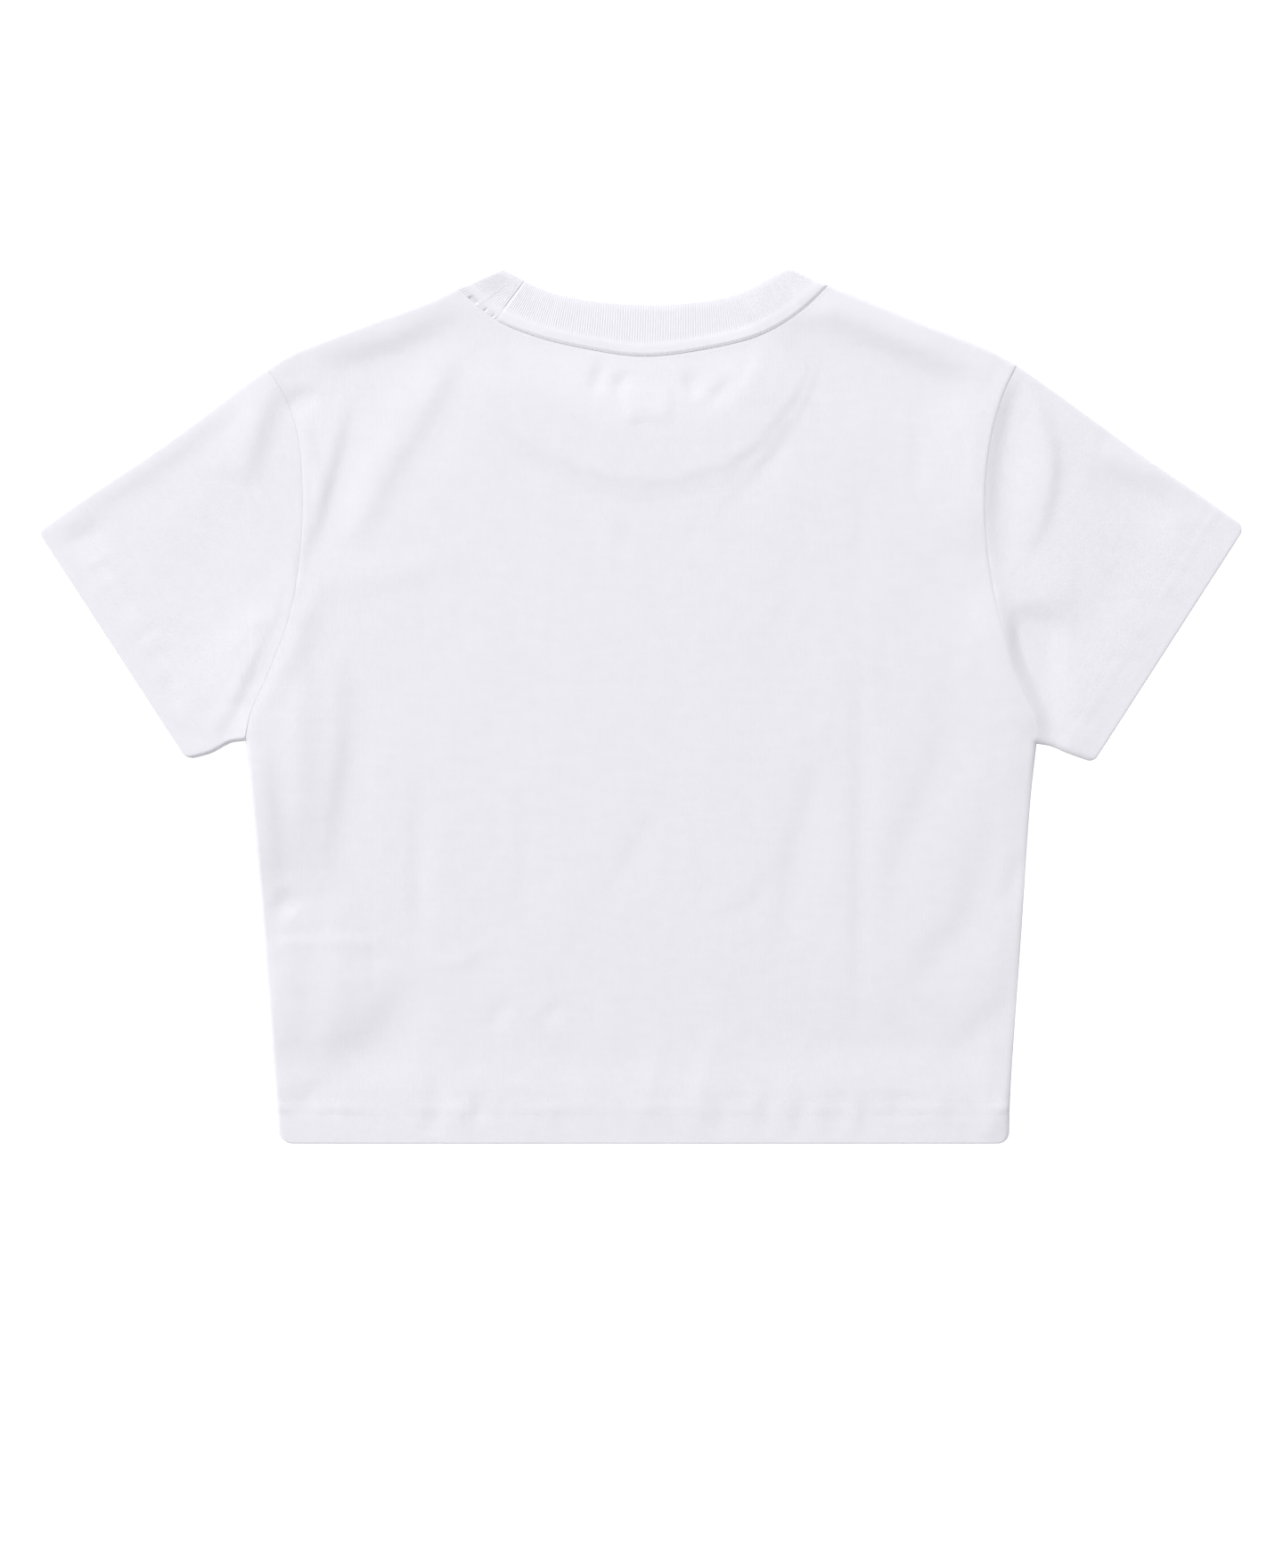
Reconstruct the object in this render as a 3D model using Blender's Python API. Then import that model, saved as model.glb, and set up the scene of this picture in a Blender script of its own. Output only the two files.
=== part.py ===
"""A cropped crew-neck T-shirt lying face down: two panels, two sleeves and a ribbed neckband.

Every piece is one closed wall of cloth. Its plan is a patch filled in between named seam and
fold curves, and its heights come from what lies underneath, the loft of the cloth and a
table of creases. Units are metres. +Z is up, +Y runs from the hem to the neck, and the
wearer's left is at -X. The origin is under the middle of the shirt, on the surface it lies on.
"""

import math
from typing import NamedTuple

import bmesh
import bpy
import numpy as np


class Spot(NamedTuple):
    """A point in plan: across from the middle line, and up from the hem."""

    across: float
    up: float


class Crease(NamedTuple):
    """A soft ridge, or a trough if its height is negative, with a width on each side of its route."""

    route: tuple
    height: float
    left_width: float
    right_width: float


class Corner(NamedTuple):
    """A corner of the outline, the two points that its edges run to, and its radius."""

    tip: Spot
    toward_a: Spot
    toward_b: Spot
    radius: float


# Cloth
CLOTH_WALL = 0.0011
HEM_WALL = 0.0020
RIB_WALL = 0.0022
HEM_DEPTH = 0.0240
CUFF_DEPTH = 0.0220
BAND_WIDTH = 0.0280
SEAM_GAP = 0.0003
LAYER_GAP = 0.0004
HEM_STEP = 0.0030  # over which a hem's second layer ends

# Middle of the shirt's box, from the middle line and the hem
FRAME_MIDDLE = Spot(-0.0002, 0.2452)

# Hem, sides and underarms
HEM_LEFT = Spot(-0.2032, 0.0)
HEM_RIGHT = Spot(0.2060, 0.0)
UNDERARM_LEFT = Spot(-0.2220, 0.2255)
UNDERARM_RIGHT = Spot(0.2215, 0.2240)
SIDE_LEFT = (HEM_LEFT, Spot(-0.2055, 0.0315), Spot(-0.2115, 0.1115), Spot(-0.2185, 0.1915), UNDERARM_LEFT)
SIDE_RIGHT = (HEM_RIGHT, Spot(0.2070, 0.0315), Spot(0.2125, 0.1115), Spot(0.2180, 0.1915), UNDERARM_RIGHT)

# Armholes of the back panel, from the underarm to the shoulder
SHOULDER_LEFT = Spot(-0.2100, 0.4350)
SHOULDER_RIGHT = Spot(0.2100, 0.4365)
ARMHOLE_LEFT = (
    UNDERARM_LEFT, Spot(-0.2185, 0.2420), Spot(-0.2085, 0.2650), Spot(-0.1972, 0.2965),
    Spot(-0.1915, 0.3300), Spot(-0.1900, 0.3650), Spot(-0.1930, 0.3980), Spot(-0.2000, 0.4190),
    SHOULDER_LEFT,
)
ARMHOLE_RIGHT = (
    UNDERARM_RIGHT, Spot(0.2195, 0.2410), Spot(0.2085, 0.2650), Spot(0.1995, 0.2980),
    Spot(0.1935, 0.3330), Spot(0.1922, 0.3680), Spot(0.1960, 0.3980), Spot(0.2025, 0.4205),
    SHOULDER_RIGHT,
)
FRONT_SCOOP = 0.0080  # the front armhole is cut this much deeper

# Sleeves: the fold under the arm, the cuff's ends and the fold that runs on from the shoulder
CUFF_LOW_LEFT = Spot(-0.2548, 0.2150)
CUFF_LOW_RIGHT = Spot(0.2532, 0.2135)
CUFF_HIGH_LEFT = Spot(-0.3388, 0.3440)
CUFF_HIGH_RIGHT = Spot(0.3384, 0.3458)
UNDER_FOLD_LEFT = (UNDERARM_LEFT, Spot(-0.2300, 0.2243), Spot(-0.2410, 0.2186), CUFF_LOW_LEFT)
UNDER_FOLD_RIGHT = (UNDERARM_RIGHT, Spot(0.2295, 0.2225), Spot(0.2390, 0.2185), CUFF_LOW_RIGHT)
TOP_FOLD_LEFT = (
    SHOULDER_LEFT, Spot(-0.2200, 0.4285), Spot(-0.2475, 0.4075), Spot(-0.2775, 0.3860),
    Spot(-0.3075, 0.3660), CUFF_HIGH_LEFT,
)
TOP_FOLD_RIGHT = (
    SHOULDER_RIGHT, Spot(0.2175, 0.4315), Spot(0.2475, 0.4100), Spot(0.2775, 0.3880),
    Spot(0.3075, 0.3675), CUFF_HIGH_RIGHT,
)

# Shoulder folds, from the armhole to the neck seam, and on over the neckband to its peak
NECK_END_LEFT = Spot(-0.1035, 0.4800)
NECK_END_RIGHT = Spot(0.1045, 0.4815)
SHOULDER_FOLD_LEFT = (
    SHOULDER_LEFT, Spot(-0.1950, 0.4438), Spot(-0.1500, 0.4615), Spot(-0.1200, 0.4725), NECK_END_LEFT,
)
SHOULDER_FOLD_RIGHT = (
    SHOULDER_RIGHT, Spot(0.1950, 0.4450), Spot(0.1500, 0.4630), Spot(0.1200, 0.4755), NECK_END_RIGHT,
)
PEAK_LEFT = Spot(-0.0790, 0.4905)
PEAK_RIGHT = Spot(0.0830, 0.4910)

# Neck seams and the neckband's folded edges, from left to right
NECK_SEAM_BACK = (
    NECK_END_LEFT, Spot(-0.0930, 0.4702), Spot(-0.0800, 0.4607), Spot(-0.0600, 0.4525),
    Spot(-0.0350, 0.4462), Spot(0.0010, 0.4412), Spot(0.0400, 0.4460), Spot(0.0650, 0.4525),
    Spot(0.0810, 0.4607), Spot(0.0930, 0.4698), NECK_END_RIGHT,
)
NECK_EDGE_BACK = (
    PEAK_LEFT, Spot(-0.0700, 0.4862), Spot(-0.0600, 0.4808), Spot(-0.0400, 0.4745),
    Spot(0.0030, 0.4703), Spot(0.0450, 0.4740), Spot(0.0620, 0.4800), Spot(0.0730, 0.4860),
    PEAK_RIGHT,
)
NECK_SEAM_FRONT = (
    NECK_END_LEFT, Spot(-0.0985, 0.4480), Spot(-0.0900, 0.4215), Spot(-0.0790, 0.4045),
    Spot(-0.0580, 0.3895), Spot(0.0030, 0.3715), Spot(0.0620, 0.3895), Spot(0.0810, 0.4065),
    Spot(0.0915, 0.4230), Spot(0.0985, 0.4480), NECK_END_RIGHT,
)
NECK_EDGE_FRONT = (
    PEAK_LEFT, Spot(-0.0715, 0.4500), Spot(-0.0650, 0.4340), Spot(-0.0580, 0.4245),
    Spot(-0.0440, 0.4140), Spot(0.0030, 0.3995), Spot(0.0480, 0.4140), Spot(0.0600, 0.4255),
    Spot(0.0665, 0.4355), Spot(0.0720, 0.4500), PEAK_RIGHT,
)

# How the cloth lies
ROLL_REACH = 0.0050  # plan width over which a folded edge rolls over
ROLL_HEIGHT = 0.0022  # height of a folded edge's outermost line
ROLL_STEPS = 4
LOFT = 0.0013  # how far the upper layer stands off what it lies on
EDGE_LOFT = 0.0007  # the same beside the folds and over the neckband
LOFT_FROM = 0.0035  # the loft grows between these distances from a fold
LOFT_FULL = 0.0140
LEDGES = {"left": 0.0, "right": 0.0012}  # how far the body's edge stands above each sleeve
LEDGE_REACH = 0.0120
NECK_REACH = 0.0060
OPENING_SAG = 0.0018  # the height that the back keeps inside the front neckline
OPENING_EASE = 0.0240  # over which it comes down to it
BAND_EASE = 0.0100  # over which it rises to lie on the front's band
SETTLE = 0.0005

# Neckband: its seam roll and its ribs
RIB_PITCH = 0.0015
RIB_RELIEF = 0.00030
ROLL_BAND = 0.0070  # the smooth raised band over the seam allowance
ROLL_BAND_RISE = 0.0009

# Spacing of the mesh
STEP = 0.0140
SLEEVE_STEP = 0.0150
CURVE_STEPS = 12
SIDE_FADE = 8

CREASES = (
    # left armhole and the back beside it
    Crease((Spot(-0.1585, 0.4160), Spot(-0.1685, 0.3780), Spot(-0.1755, 0.3510), Spot(-0.1850, 0.3250)),
           -0.0013, 0.010, 0.008),
    Crease((Spot(-0.1085, 0.4370), Spot(-0.1405, 0.3840), Spot(-0.1710, 0.3340)), 0.0013, 0.009, 0.013),
    Crease((Spot(-0.0980, 0.4340), Spot(-0.1300, 0.3780), Spot(-0.1450, 0.3480)), -0.0007, 0.013, 0.008),
    Crease((Spot(-0.1880, 0.4415), Spot(-0.1400, 0.4535), Spot(-0.0970, 0.4735)), 0.0013, 0.009, 0.010),
    Crease((Spot(-0.1880, 0.4330), Spot(-0.1400, 0.4405), Spot(-0.0980, 0.4640)), -0.0012, 0.009, 0.014),
    Crease((Spot(-0.1860, 0.2960), Spot(-0.2030, 0.2570), Spot(-0.2120, 0.2400)), 0.0012, 0.008, 0.008),
    # left sleeve
    Crease((Spot(-0.2040, 0.4340), Spot(-0.2156, 0.4035), Spot(-0.2240, 0.3660)), 0.0016, 0.008, 0.012),
    Crease((Spot(-0.1960, 0.3010), Spot(-0.2106, 0.2760), Spot(-0.2290, 0.2310)), -0.0015, 0.011, 0.008),
    Crease((Spot(-0.2205, 0.4195), Spot(-0.2740, 0.3811), Spot(-0.3215, 0.3486)), 0.0013, 0.008, 0.008),
    Crease((Spot(-0.2400, 0.3980), Spot(-0.2520, 0.3600), Spot(-0.2700, 0.3300)), 0.0005, 0.014, 0.014),
    # left side of the body
    Crease((Spot(-0.2120, 0.2620), Spot(-0.2110, 0.2150), Spot(-0.2070, 0.1600), Spot(-0.2030, 0.1180)),
           0.0012, 0.028, 0.012),
    Crease((Spot(-0.1760, 0.2640), Spot(-0.1760, 0.2150), Spot(-0.1830, 0.1420)), 0.0013, 0.008, 0.014),
    Crease((Spot(-0.1620, 0.2620), Spot(-0.1620, 0.2150), Spot(-0.1720, 0.1460)), -0.0007, 0.015, 0.008),
    Crease((Spot(-0.2050, 0.1390), Spot(-0.1950, 0.1280)), -0.0014, 0.008, 0.008),
    Crease((Spot(-0.1300, 0.0950), Spot(-0.1420, 0.0620), Spot(-0.1780, 0.0400)), -0.0012, 0.013, 0.008),
    Crease((Spot(-0.1410, 0.0980), Spot(-0.1530, 0.0710), Spot(-0.1820, 0.0500)), 0.0009, 0.008, 0.009),
    Crease((Spot(-0.1840, 0.0800), Spot(-0.1880, 0.0640), Spot(-0.1940, 0.0500)), -0.0010, 0.015, 0.008),
    Crease((Spot(-0.1260, 0.2020), Spot(-0.1260, 0.1100)), -0.0006, 0.008, 0.008),
    # middle and right side of the body
    Crease((Spot(0.0080, 0.1840), Spot(-0.0170, 0.1390)), -0.0005, 0.010, 0.008),
    Crease((Spot(0.0715, 0.1580), Spot(0.0640, 0.1360), Spot(0.0420, 0.1260)), -0.0005, 0.009, 0.008),
    Crease((Spot(0.1020, 0.2200), Spot(0.0877, 0.1630), Spot(0.0805, 0.1030)), -0.0009, 0.011, 0.008),
    Crease((Spot(0.1220, 0.2740), Spot(0.1220, 0.0840)), -0.0006, 0.008, 0.008),
    Crease((Spot(0.1680, 0.2580), Spot(0.1660, 0.2180), Spot(0.1545, 0.1880), Spot(0.1390, 0.1300)),
           -0.0008, 0.013, 0.008),
    Crease((Spot(0.1970, 0.1850), Spot(0.1850, 0.1270), Spot(0.1540, 0.0840)), -0.0011, 0.014, 0.008),
    Crease((Spot(0.2170, 0.1660), Spot(0.2000, 0.1310)), -0.0008, 0.009, 0.008),
    Crease((Spot(0.2090, 0.0920), Spot(0.1960, 0.0710), Spot(0.1630, 0.0410)), -0.0010, 0.013, 0.008),
    Crease((Spot(0.0600, 0.0600), Spot(0.1200, 0.0550), Spot(0.1850, 0.0600)), -0.0005, 0.022, 0.010),
    Crease((Spot(0.2040, 0.0280), Spot(0.1930, 0.0020)), 0.0010, 0.008, 0.008),
    # right shoulder and armhole
    Crease((Spot(0.0840, 0.4685), Spot(0.1175, 0.4660), Spot(0.1660, 0.4465), Spot(0.2000, 0.4310)),
           0.0014, 0.009, 0.009),
    Crease((Spot(0.0900, 0.4590), Spot(0.1380, 0.4420), Spot(0.1860, 0.4235)), -0.0013, 0.009, 0.016),
    Crease((Spot(0.2105, 0.4270), Spot(0.2068, 0.3700), Spot(0.2070, 0.3180)), -0.0014, 0.009, 0.008),
    # right sleeve
    Crease((Spot(0.2090, 0.4380), Spot(0.2225, 0.4035), Spot(0.2279, 0.3815), Spot(0.2265, 0.3600),
            Spot(0.2085, 0.3260)), 0.0020, 0.008, 0.015),
    Crease((Spot(0.2030, 0.3030), Spot(0.2130, 0.2690), Spot(0.2270, 0.2370), Spot(0.2380, 0.2265)),
           -0.0022, 0.008, 0.008),
    Crease((Spot(0.2040, 0.3060), Spot(0.2440, 0.3040)), 0.0012, 0.008, 0.008),
    Crease((Spot(0.2060, 0.2910), Spot(0.2400, 0.2900)), -0.0012, 0.008, 0.009),
    Crease((Spot(0.2260, 0.2960), Spot(0.2325, 0.2660), Spot(0.2450, 0.2400)), 0.0015, 0.009, 0.008),
    Crease((Spot(0.2590, 0.3880), Spot(0.2850, 0.3750), Spot(0.3070, 0.3650)), 0.0011, 0.008, 0.008),
    Crease((Spot(0.2540, 0.3780), Spot(0.2780, 0.3670), Spot(0.2980, 0.3560)), -0.0008, 0.008, 0.013),
    Crease((Spot(0.2500, 0.3920), Spot(0.2580, 0.3500), Spot(0.2820, 0.3150)), 0.0005, 0.013, 0.013),
)

CORNERS = (
    Corner(HEM_LEFT, HEM_RIGHT, UNDERARM_LEFT, 0.0080),
    Corner(HEM_RIGHT, HEM_LEFT, UNDERARM_RIGHT, 0.0065),
    Corner(CUFF_LOW_LEFT, CUFF_HIGH_LEFT, UNDER_FOLD_LEFT[-2], 0.0045),
    Corner(CUFF_LOW_RIGHT, CUFF_HIGH_RIGHT, UNDER_FOLD_RIGHT[-2], 0.0035),
    Corner(CUFF_HIGH_LEFT, CUFF_LOW_LEFT, TOP_FOLD_LEFT[-2], 0.0055),
    Corner(CUFF_HIGH_RIGHT, CUFF_LOW_RIGHT, TOP_FOLD_RIGHT[-2], 0.0055),
)

JERSEY_COLOUR = (0.80, 0.79, 0.83, 1.0)
JERSEY_ROUGHNESS = 0.92
RIB_COLOUR = (0.79, 0.78, 0.82, 1.0)
RIB_ROUGHNESS = 0.90


# ---------------------------------------------------------------- plan curves


def smooth_points(spots):
    """Points on a smooth curve through the spots, which bends no further than they do."""
    knots = np.array(spots, float)
    spans = np.sqrt(np.linalg.norm(np.diff(knots, axis=0), axis=1))[:, None]
    slopes = np.diff(knots, axis=0) / spans
    inner = (slopes[:-1] * spans[1:] + slopes[1:] * spans[:-1]) / (spans[:-1] + spans[1:])
    tangents = np.vstack([slopes[:1], inner, slopes[-1:]])
    t = np.linspace(0.0, 1.0, CURVE_STEPS, endpoint=False)[None, :, None]
    start, end = knots[:-1, None], knots[1:, None]
    leave = tangents[:-1, None] * spans[:, None]
    arrive = tangents[1:, None] * spans[:, None]
    points = (
        start * (2 * t**3 - 3 * t**2 + 1) + end * (3 * t**2 - 2 * t**3)
        + leave * (t**3 - 2 * t**2 + t) + arrive * (t**3 - t**2)
    )
    return np.vstack([points.reshape(-1, 2), knots[-1:]])


class Path:
    """A line of plan points that is read by the distance along it."""

    def __init__(self, points):
        self.points = np.array(points, float)
        lengths = np.linalg.norm(np.diff(self.points, axis=0), axis=1)
        self.marks = np.concatenate([[0.0], np.cumsum(lengths)])
        self.length = self.marks[-1]

    @classmethod
    def through(cls, spots):
        """A smooth path through the spots."""
        return cls(smooth_points(spots))

    def at(self, distances):
        """The points at these distances from the path's start."""
        return np.column_stack([np.interp(distances, self.marks, self.points[:, k]) for k in (0, 1)])

    def reversed(self):
        """The same path, run the other way."""
        return Path(self.points[::-1])

    def moved_left(self, amount):
        """The path moved towards its left-hand side, by one amount or by one for each point."""
        ahead = np.gradient(self.points, axis=0)
        ahead /= np.linalg.norm(ahead, axis=1)[:, None]
        left = np.column_stack([-ahead[:, 1], ahead[:, 0]])
        return Path(self.points + left * np.broadcast_to(amount, len(left))[:, None])

    def nearest(self, plan):
        """Each plan point's distance, the way to it from the path, its side, and the path's mark there."""
        best = np.full(len(plan), np.inf)
        way = np.zeros((len(plan), 2))
        side = np.zeros(len(plan))
        mark = np.zeros(len(plan))
        for k, start in enumerate(self.points[:-1]):
            run = self.points[k + 1] - start
            offset = plan - start
            share = np.clip(offset @ run / (run @ run), 0.0, 1.0)
            gap = offset - share[:, None] * run
            distance = np.linalg.norm(gap, axis=1)
            closer = distance < best
            best[closer] = distance[closer]
            way[closer] = gap[closer]
            side[closer] = np.sign(run[0] * offset[closer, 1] - run[1] * offset[closer, 0])
            mark[closer] = self.marks[k] + share[closer] * (self.marks[k + 1] - self.marks[k])
        return best, way, side, mark


def joined(*paths):
    """One path from several that run on from each other."""
    return Path(np.vstack([paths[0].points] + [path.points[1:] for path in paths[1:]]))


def blend(values, start, end):
    """0 up to start, 1 from end, and an S-curve between them."""
    t = np.clip((values - start) / (end - start), 0.0, 1.0)
    return t * t * (3 - 2 * t)


SIDES = {"left": Path.through(SIDE_LEFT), "right": Path.through(SIDE_RIGHT)}
ARMHOLES = {"left": Path.through(ARMHOLE_LEFT), "right": Path.through(ARMHOLE_RIGHT)}
UNDER_FOLDS = {"left": Path.through(UNDER_FOLD_LEFT), "right": Path.through(UNDER_FOLD_RIGHT)}
TOP_FOLDS = {"left": Path.through(TOP_FOLD_LEFT), "right": Path.through(TOP_FOLD_RIGHT)}
CUFFS = {"left": Path((CUFF_LOW_LEFT, CUFF_HIGH_LEFT)), "right": Path((CUFF_LOW_RIGHT, CUFF_HIGH_RIGHT))}
SHOULDERS = {"left": Path.through(SHOULDER_FOLD_LEFT), "right": Path.through(SHOULDER_FOLD_RIGHT)}
TURNS = {"left": Path((NECK_END_LEFT, PEAK_LEFT)), "right": Path((NECK_END_RIGHT, PEAK_RIGHT))}
NECK_SEAMS = {"back": Path.through(NECK_SEAM_BACK), "front": Path.through(NECK_SEAM_FRONT)}
NECK_EDGES = {"back": Path.through(NECK_EDGE_BACK), "front": Path.through(NECK_EDGE_FRONT)}

# Folded edges, anticlockwise, so that the cloth is on their left
FOLDED_EDGES = (
    joined(SIDES["right"], UNDER_FOLDS["right"]),
    joined(TOP_FOLDS["right"].reversed(), SHOULDERS["right"], TURNS["right"]),
    joined(TURNS["left"].reversed(), SHOULDERS["left"].reversed(), TOP_FOLDS["left"]),
    joined(UNDER_FOLDS["left"].reversed(), SIDES["left"].reversed()),
)


def front_armhole(side):
    """The front panel's armhole, scooped towards the middle of the shirt."""
    back = ARMHOLES[side]
    scoop = FRONT_SCOOP * np.sin(math.pi * back.marks / back.length)
    return back.moved_left(scoop if side == "right" else -scoop)


FRONT_ARMHOLES = {side: front_armhole(side) for side in ("left", "right")}


# ---------------------------------------------------------------- heights


def edge_roll(plan):
    """How far up its rolled edge the cloth is, 0 to 1, and the plan direction that its edge faces."""
    found = [edge.nearest(plan) for edge in FOLDED_EDGES]
    distance = np.min([each[0] for each in found], axis=0)
    facing = np.zeros((len(plan), 2))
    for edge, (reach, way, _, mark) in zip(FOLDED_EDGES, found):
        here = reach <= distance
        ahead = edge.at(mark[here] + 0.0001) - edge.at(mark[here] - 0.0001)
        outward = np.column_stack([ahead[:, 1], -ahead[:, 0]])
        facing[here] = np.where(reach[here, None] > 0.0002, -way[here], outward)
    facing /= np.maximum(np.linalg.norm(facing, axis=1), 1e-9)[:, None]
    cosine = 1.0 - np.clip(distance / ROLL_REACH, 0.0, 1.0)
    return np.sqrt(1.0 - cosine**2), cosine[:, None] * facing, distance


def creases_at(plan):
    """The height that the creases add at each plan point."""
    height = np.zeros(len(plan))
    for crease in CREASES:
        route = Path.through(crease.route)
        distance, _, side, mark = route.nearest(plan)
        width = np.where(side > 0, crease.left_width, crease.right_width)
        ends = np.sin(math.pi * np.clip(mark / route.length, 0.0, 1.0)) ** 0.7
        height += crease.height * np.maximum(ends, 0.15) * np.exp(-((distance / width) ** 2))
    return height


def hem_share(plan, piece):
    """1 where the cloth is doubled by its hem, 0 above it."""
    if piece in CUFFS:
        from_edge = CUFFS[piece].nearest(plan)[0]
        depth = CUFF_DEPTH
    else:
        from_edge = plan[:, 1]
        depth = HEM_DEPTH
    return 1.0 - blend(from_edge, depth - HEM_STEP / 2, depth + HEM_STEP / 2)


def wall_at(plan, piece):
    """The thickness of the cloth."""
    return CLOTH_WALL + (HEM_WALL - CLOTH_WALL) * hem_share(plan, piece)


def support_at(plan, piece):
    """The height of what the upper layer lies on."""
    if piece in CUFFS:
        return wall_at(plan, piece)
    distance, _, side, _ = NECK_SEAMS["front"].nearest(plan)
    inside = distance * side
    over_band = blend(inside, -BAND_EASE, 0.0)
    past_band = blend(inside, BAND_WIDTH + 0.0015, BAND_WIDTH + OPENING_EASE)
    band = over_band * (RIB_WALL - CLOTH_WALL) - past_band * (RIB_WALL - OPENING_SAG)
    return wall_at(plan, piece) + band


def loft_at(plan, from_fold, piece):
    """How far the upper layer stands off what it lies on."""
    to_neck, _, neck_side, _ = NECK_SEAMS["back"].nearest(plan)
    full = np.where(neck_side > 0, EDGE_LOFT, LOFT)
    loft = EDGE_LOFT + (full - EDGE_LOFT) * blend(from_fold, LOFT_FROM, LOFT_FULL) + creases_at(plan)
    if piece in CUFFS:
        return loft
    for side, ledge in LEDGES.items():
        loft = loft + ledge * np.exp(-((ARMHOLES[side].nearest(plan)[0] / LEDGE_REACH) ** 2))
    return loft + (EDGE_LOFT - loft) * np.exp(-((to_neck / NECK_REACH) ** 2))


def settled(loft):
    """The loft kept above nothing, as cloth that comes to rest on the layer below it."""
    return 0.5 * (loft + np.sqrt(loft**2 + SETTLE**2))


def upper_layer(plan, piece, wall, edge_wall, middle, extra=0.0):
    """Outer and inner points of a layer that lies on another; its wall is edge_wall where it rolls over."""
    rise, lean, from_fold = edge_roll(plan)
    top = support_at(plan, piece) + LAYER_GAP + wall + settled(loft_at(plan, from_fold, piece))
    outer = np.column_stack([plan, middle + (top + extra - middle) * rise])
    inner_rise = middle + (top - wall - middle) * rise
    return outer, np.column_stack([plan - np.reshape(edge_wall, (-1, 1)) * lean, inner_rise])


def lower_layer(plan, wall, edge_wall, middle):
    """Outer and inner points of a layer that lies flat on the surface and rolls up at its edges."""
    rise, lean, _ = edge_roll(plan)
    outer = np.column_stack([plan, middle * (1.0 - rise)])
    inner_rise = middle + (wall - middle) * rise
    return outer, np.column_stack([plan - np.reshape(edge_wall, (-1, 1)) * lean, inner_rise])


# ---------------------------------------------------------------- plan patches


def roll_marks():
    """Distances from a folded edge that divide its roll into equal turns."""
    turns = np.linspace(0.0, math.pi / 2, ROLL_STEPS)
    return ROLL_REACH * (1.0 - np.cos(turns))


def marks_between(length, step, roll_start=True, roll_end=True):
    """Distances along a line, close together where it crosses a rolled edge."""
    start = roll_marks() if roll_start else np.zeros(1)
    end = length - roll_marks()[::-1] if roll_end else np.array([length])
    count = max(2, round((end[0] - start[-1]) / step) + 1)
    return np.concatenate([start[:-1], np.linspace(start[-1], end[0], count), end[1:]])


def patch(left, right, bottom, top, across, up, fade=1):
    """A plan grid filled in between four rows of points, with the weights of its columns and rows.

    A side's bends fade towards the other side, the faster the higher the power fade.
    """
    u = across[None, :, None]
    v = up[:, None, None]
    left_bend = left[:, None] - ((1 - v) * left[0] + v * left[-1])
    right_bend = right[:, None] - ((1 - v) * right[0] + v * right[-1])
    between_ends = (1 - v) * bottom[None] + v * top[None]
    return between_ends + (1 - u) ** fade * left_bend + u**fade * right_bend


def armhole_marks(path):
    """Where the rows of a panel and the columns of a sleeve meet along an armhole."""
    back = ARMHOLES["left"]
    return marks_between(back.length, STEP) / back.length * path.length


def panel_plan(armholes, neck_seam):
    """A body panel's plan, rows from the hem up and columns from left to right, and its neck's columns."""
    rows = {}
    for side in ("left", "right"):
        edge = SIDES[side]
        underarm = edge.points[-1, 1]
        hem_rows = [HEM_WALL / 2, HEM_DEPTH / 2, HEM_DEPTH - HEM_STEP / 2, HEM_DEPTH + HEM_STEP / 2]
        count = round(underarm / STEP)
        heights = np.concatenate([hem_rows, np.linspace(hem_rows[-1], underarm, count)[1:]])
        below = np.column_stack([np.interp(heights, edge.points[:, 1], edge.points[:, 0]), heights])
        above = armholes[side].at(armhole_marks(armholes[side]))[1:]
        rows[side] = np.vstack([below, above])
    left_fold, right_fold = (
        fold.at(marks_between(fold.length, STEP, roll_end=False)) for fold in SHOULDERS.values()
    )
    neck = neck_seam.at(marks_between(neck_seam.length, STEP))
    neck_columns = slice(len(left_fold) - 1, len(left_fold) - 1 + len(neck))
    top = np.vstack([left_fold[:-1], neck, right_fold[::-1][1:]])
    across = (top[:, 0] - top[0, 0]) / (top[-1, 0] - top[0, 0])
    bottom = (1 - across[:, None]) * rows["left"][0] + across[:, None] * rows["right"][0]
    heights = (rows["left"][:, 1] + rows["right"][:, 1]) / 2
    up = np.clip((heights - HEM_DEPTH) / (heights[-1] - HEM_DEPTH), 0.0, 1.0)
    return patch(rows["left"], rows["right"], bottom, top, across, up, SIDE_FADE), neck_columns


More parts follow.
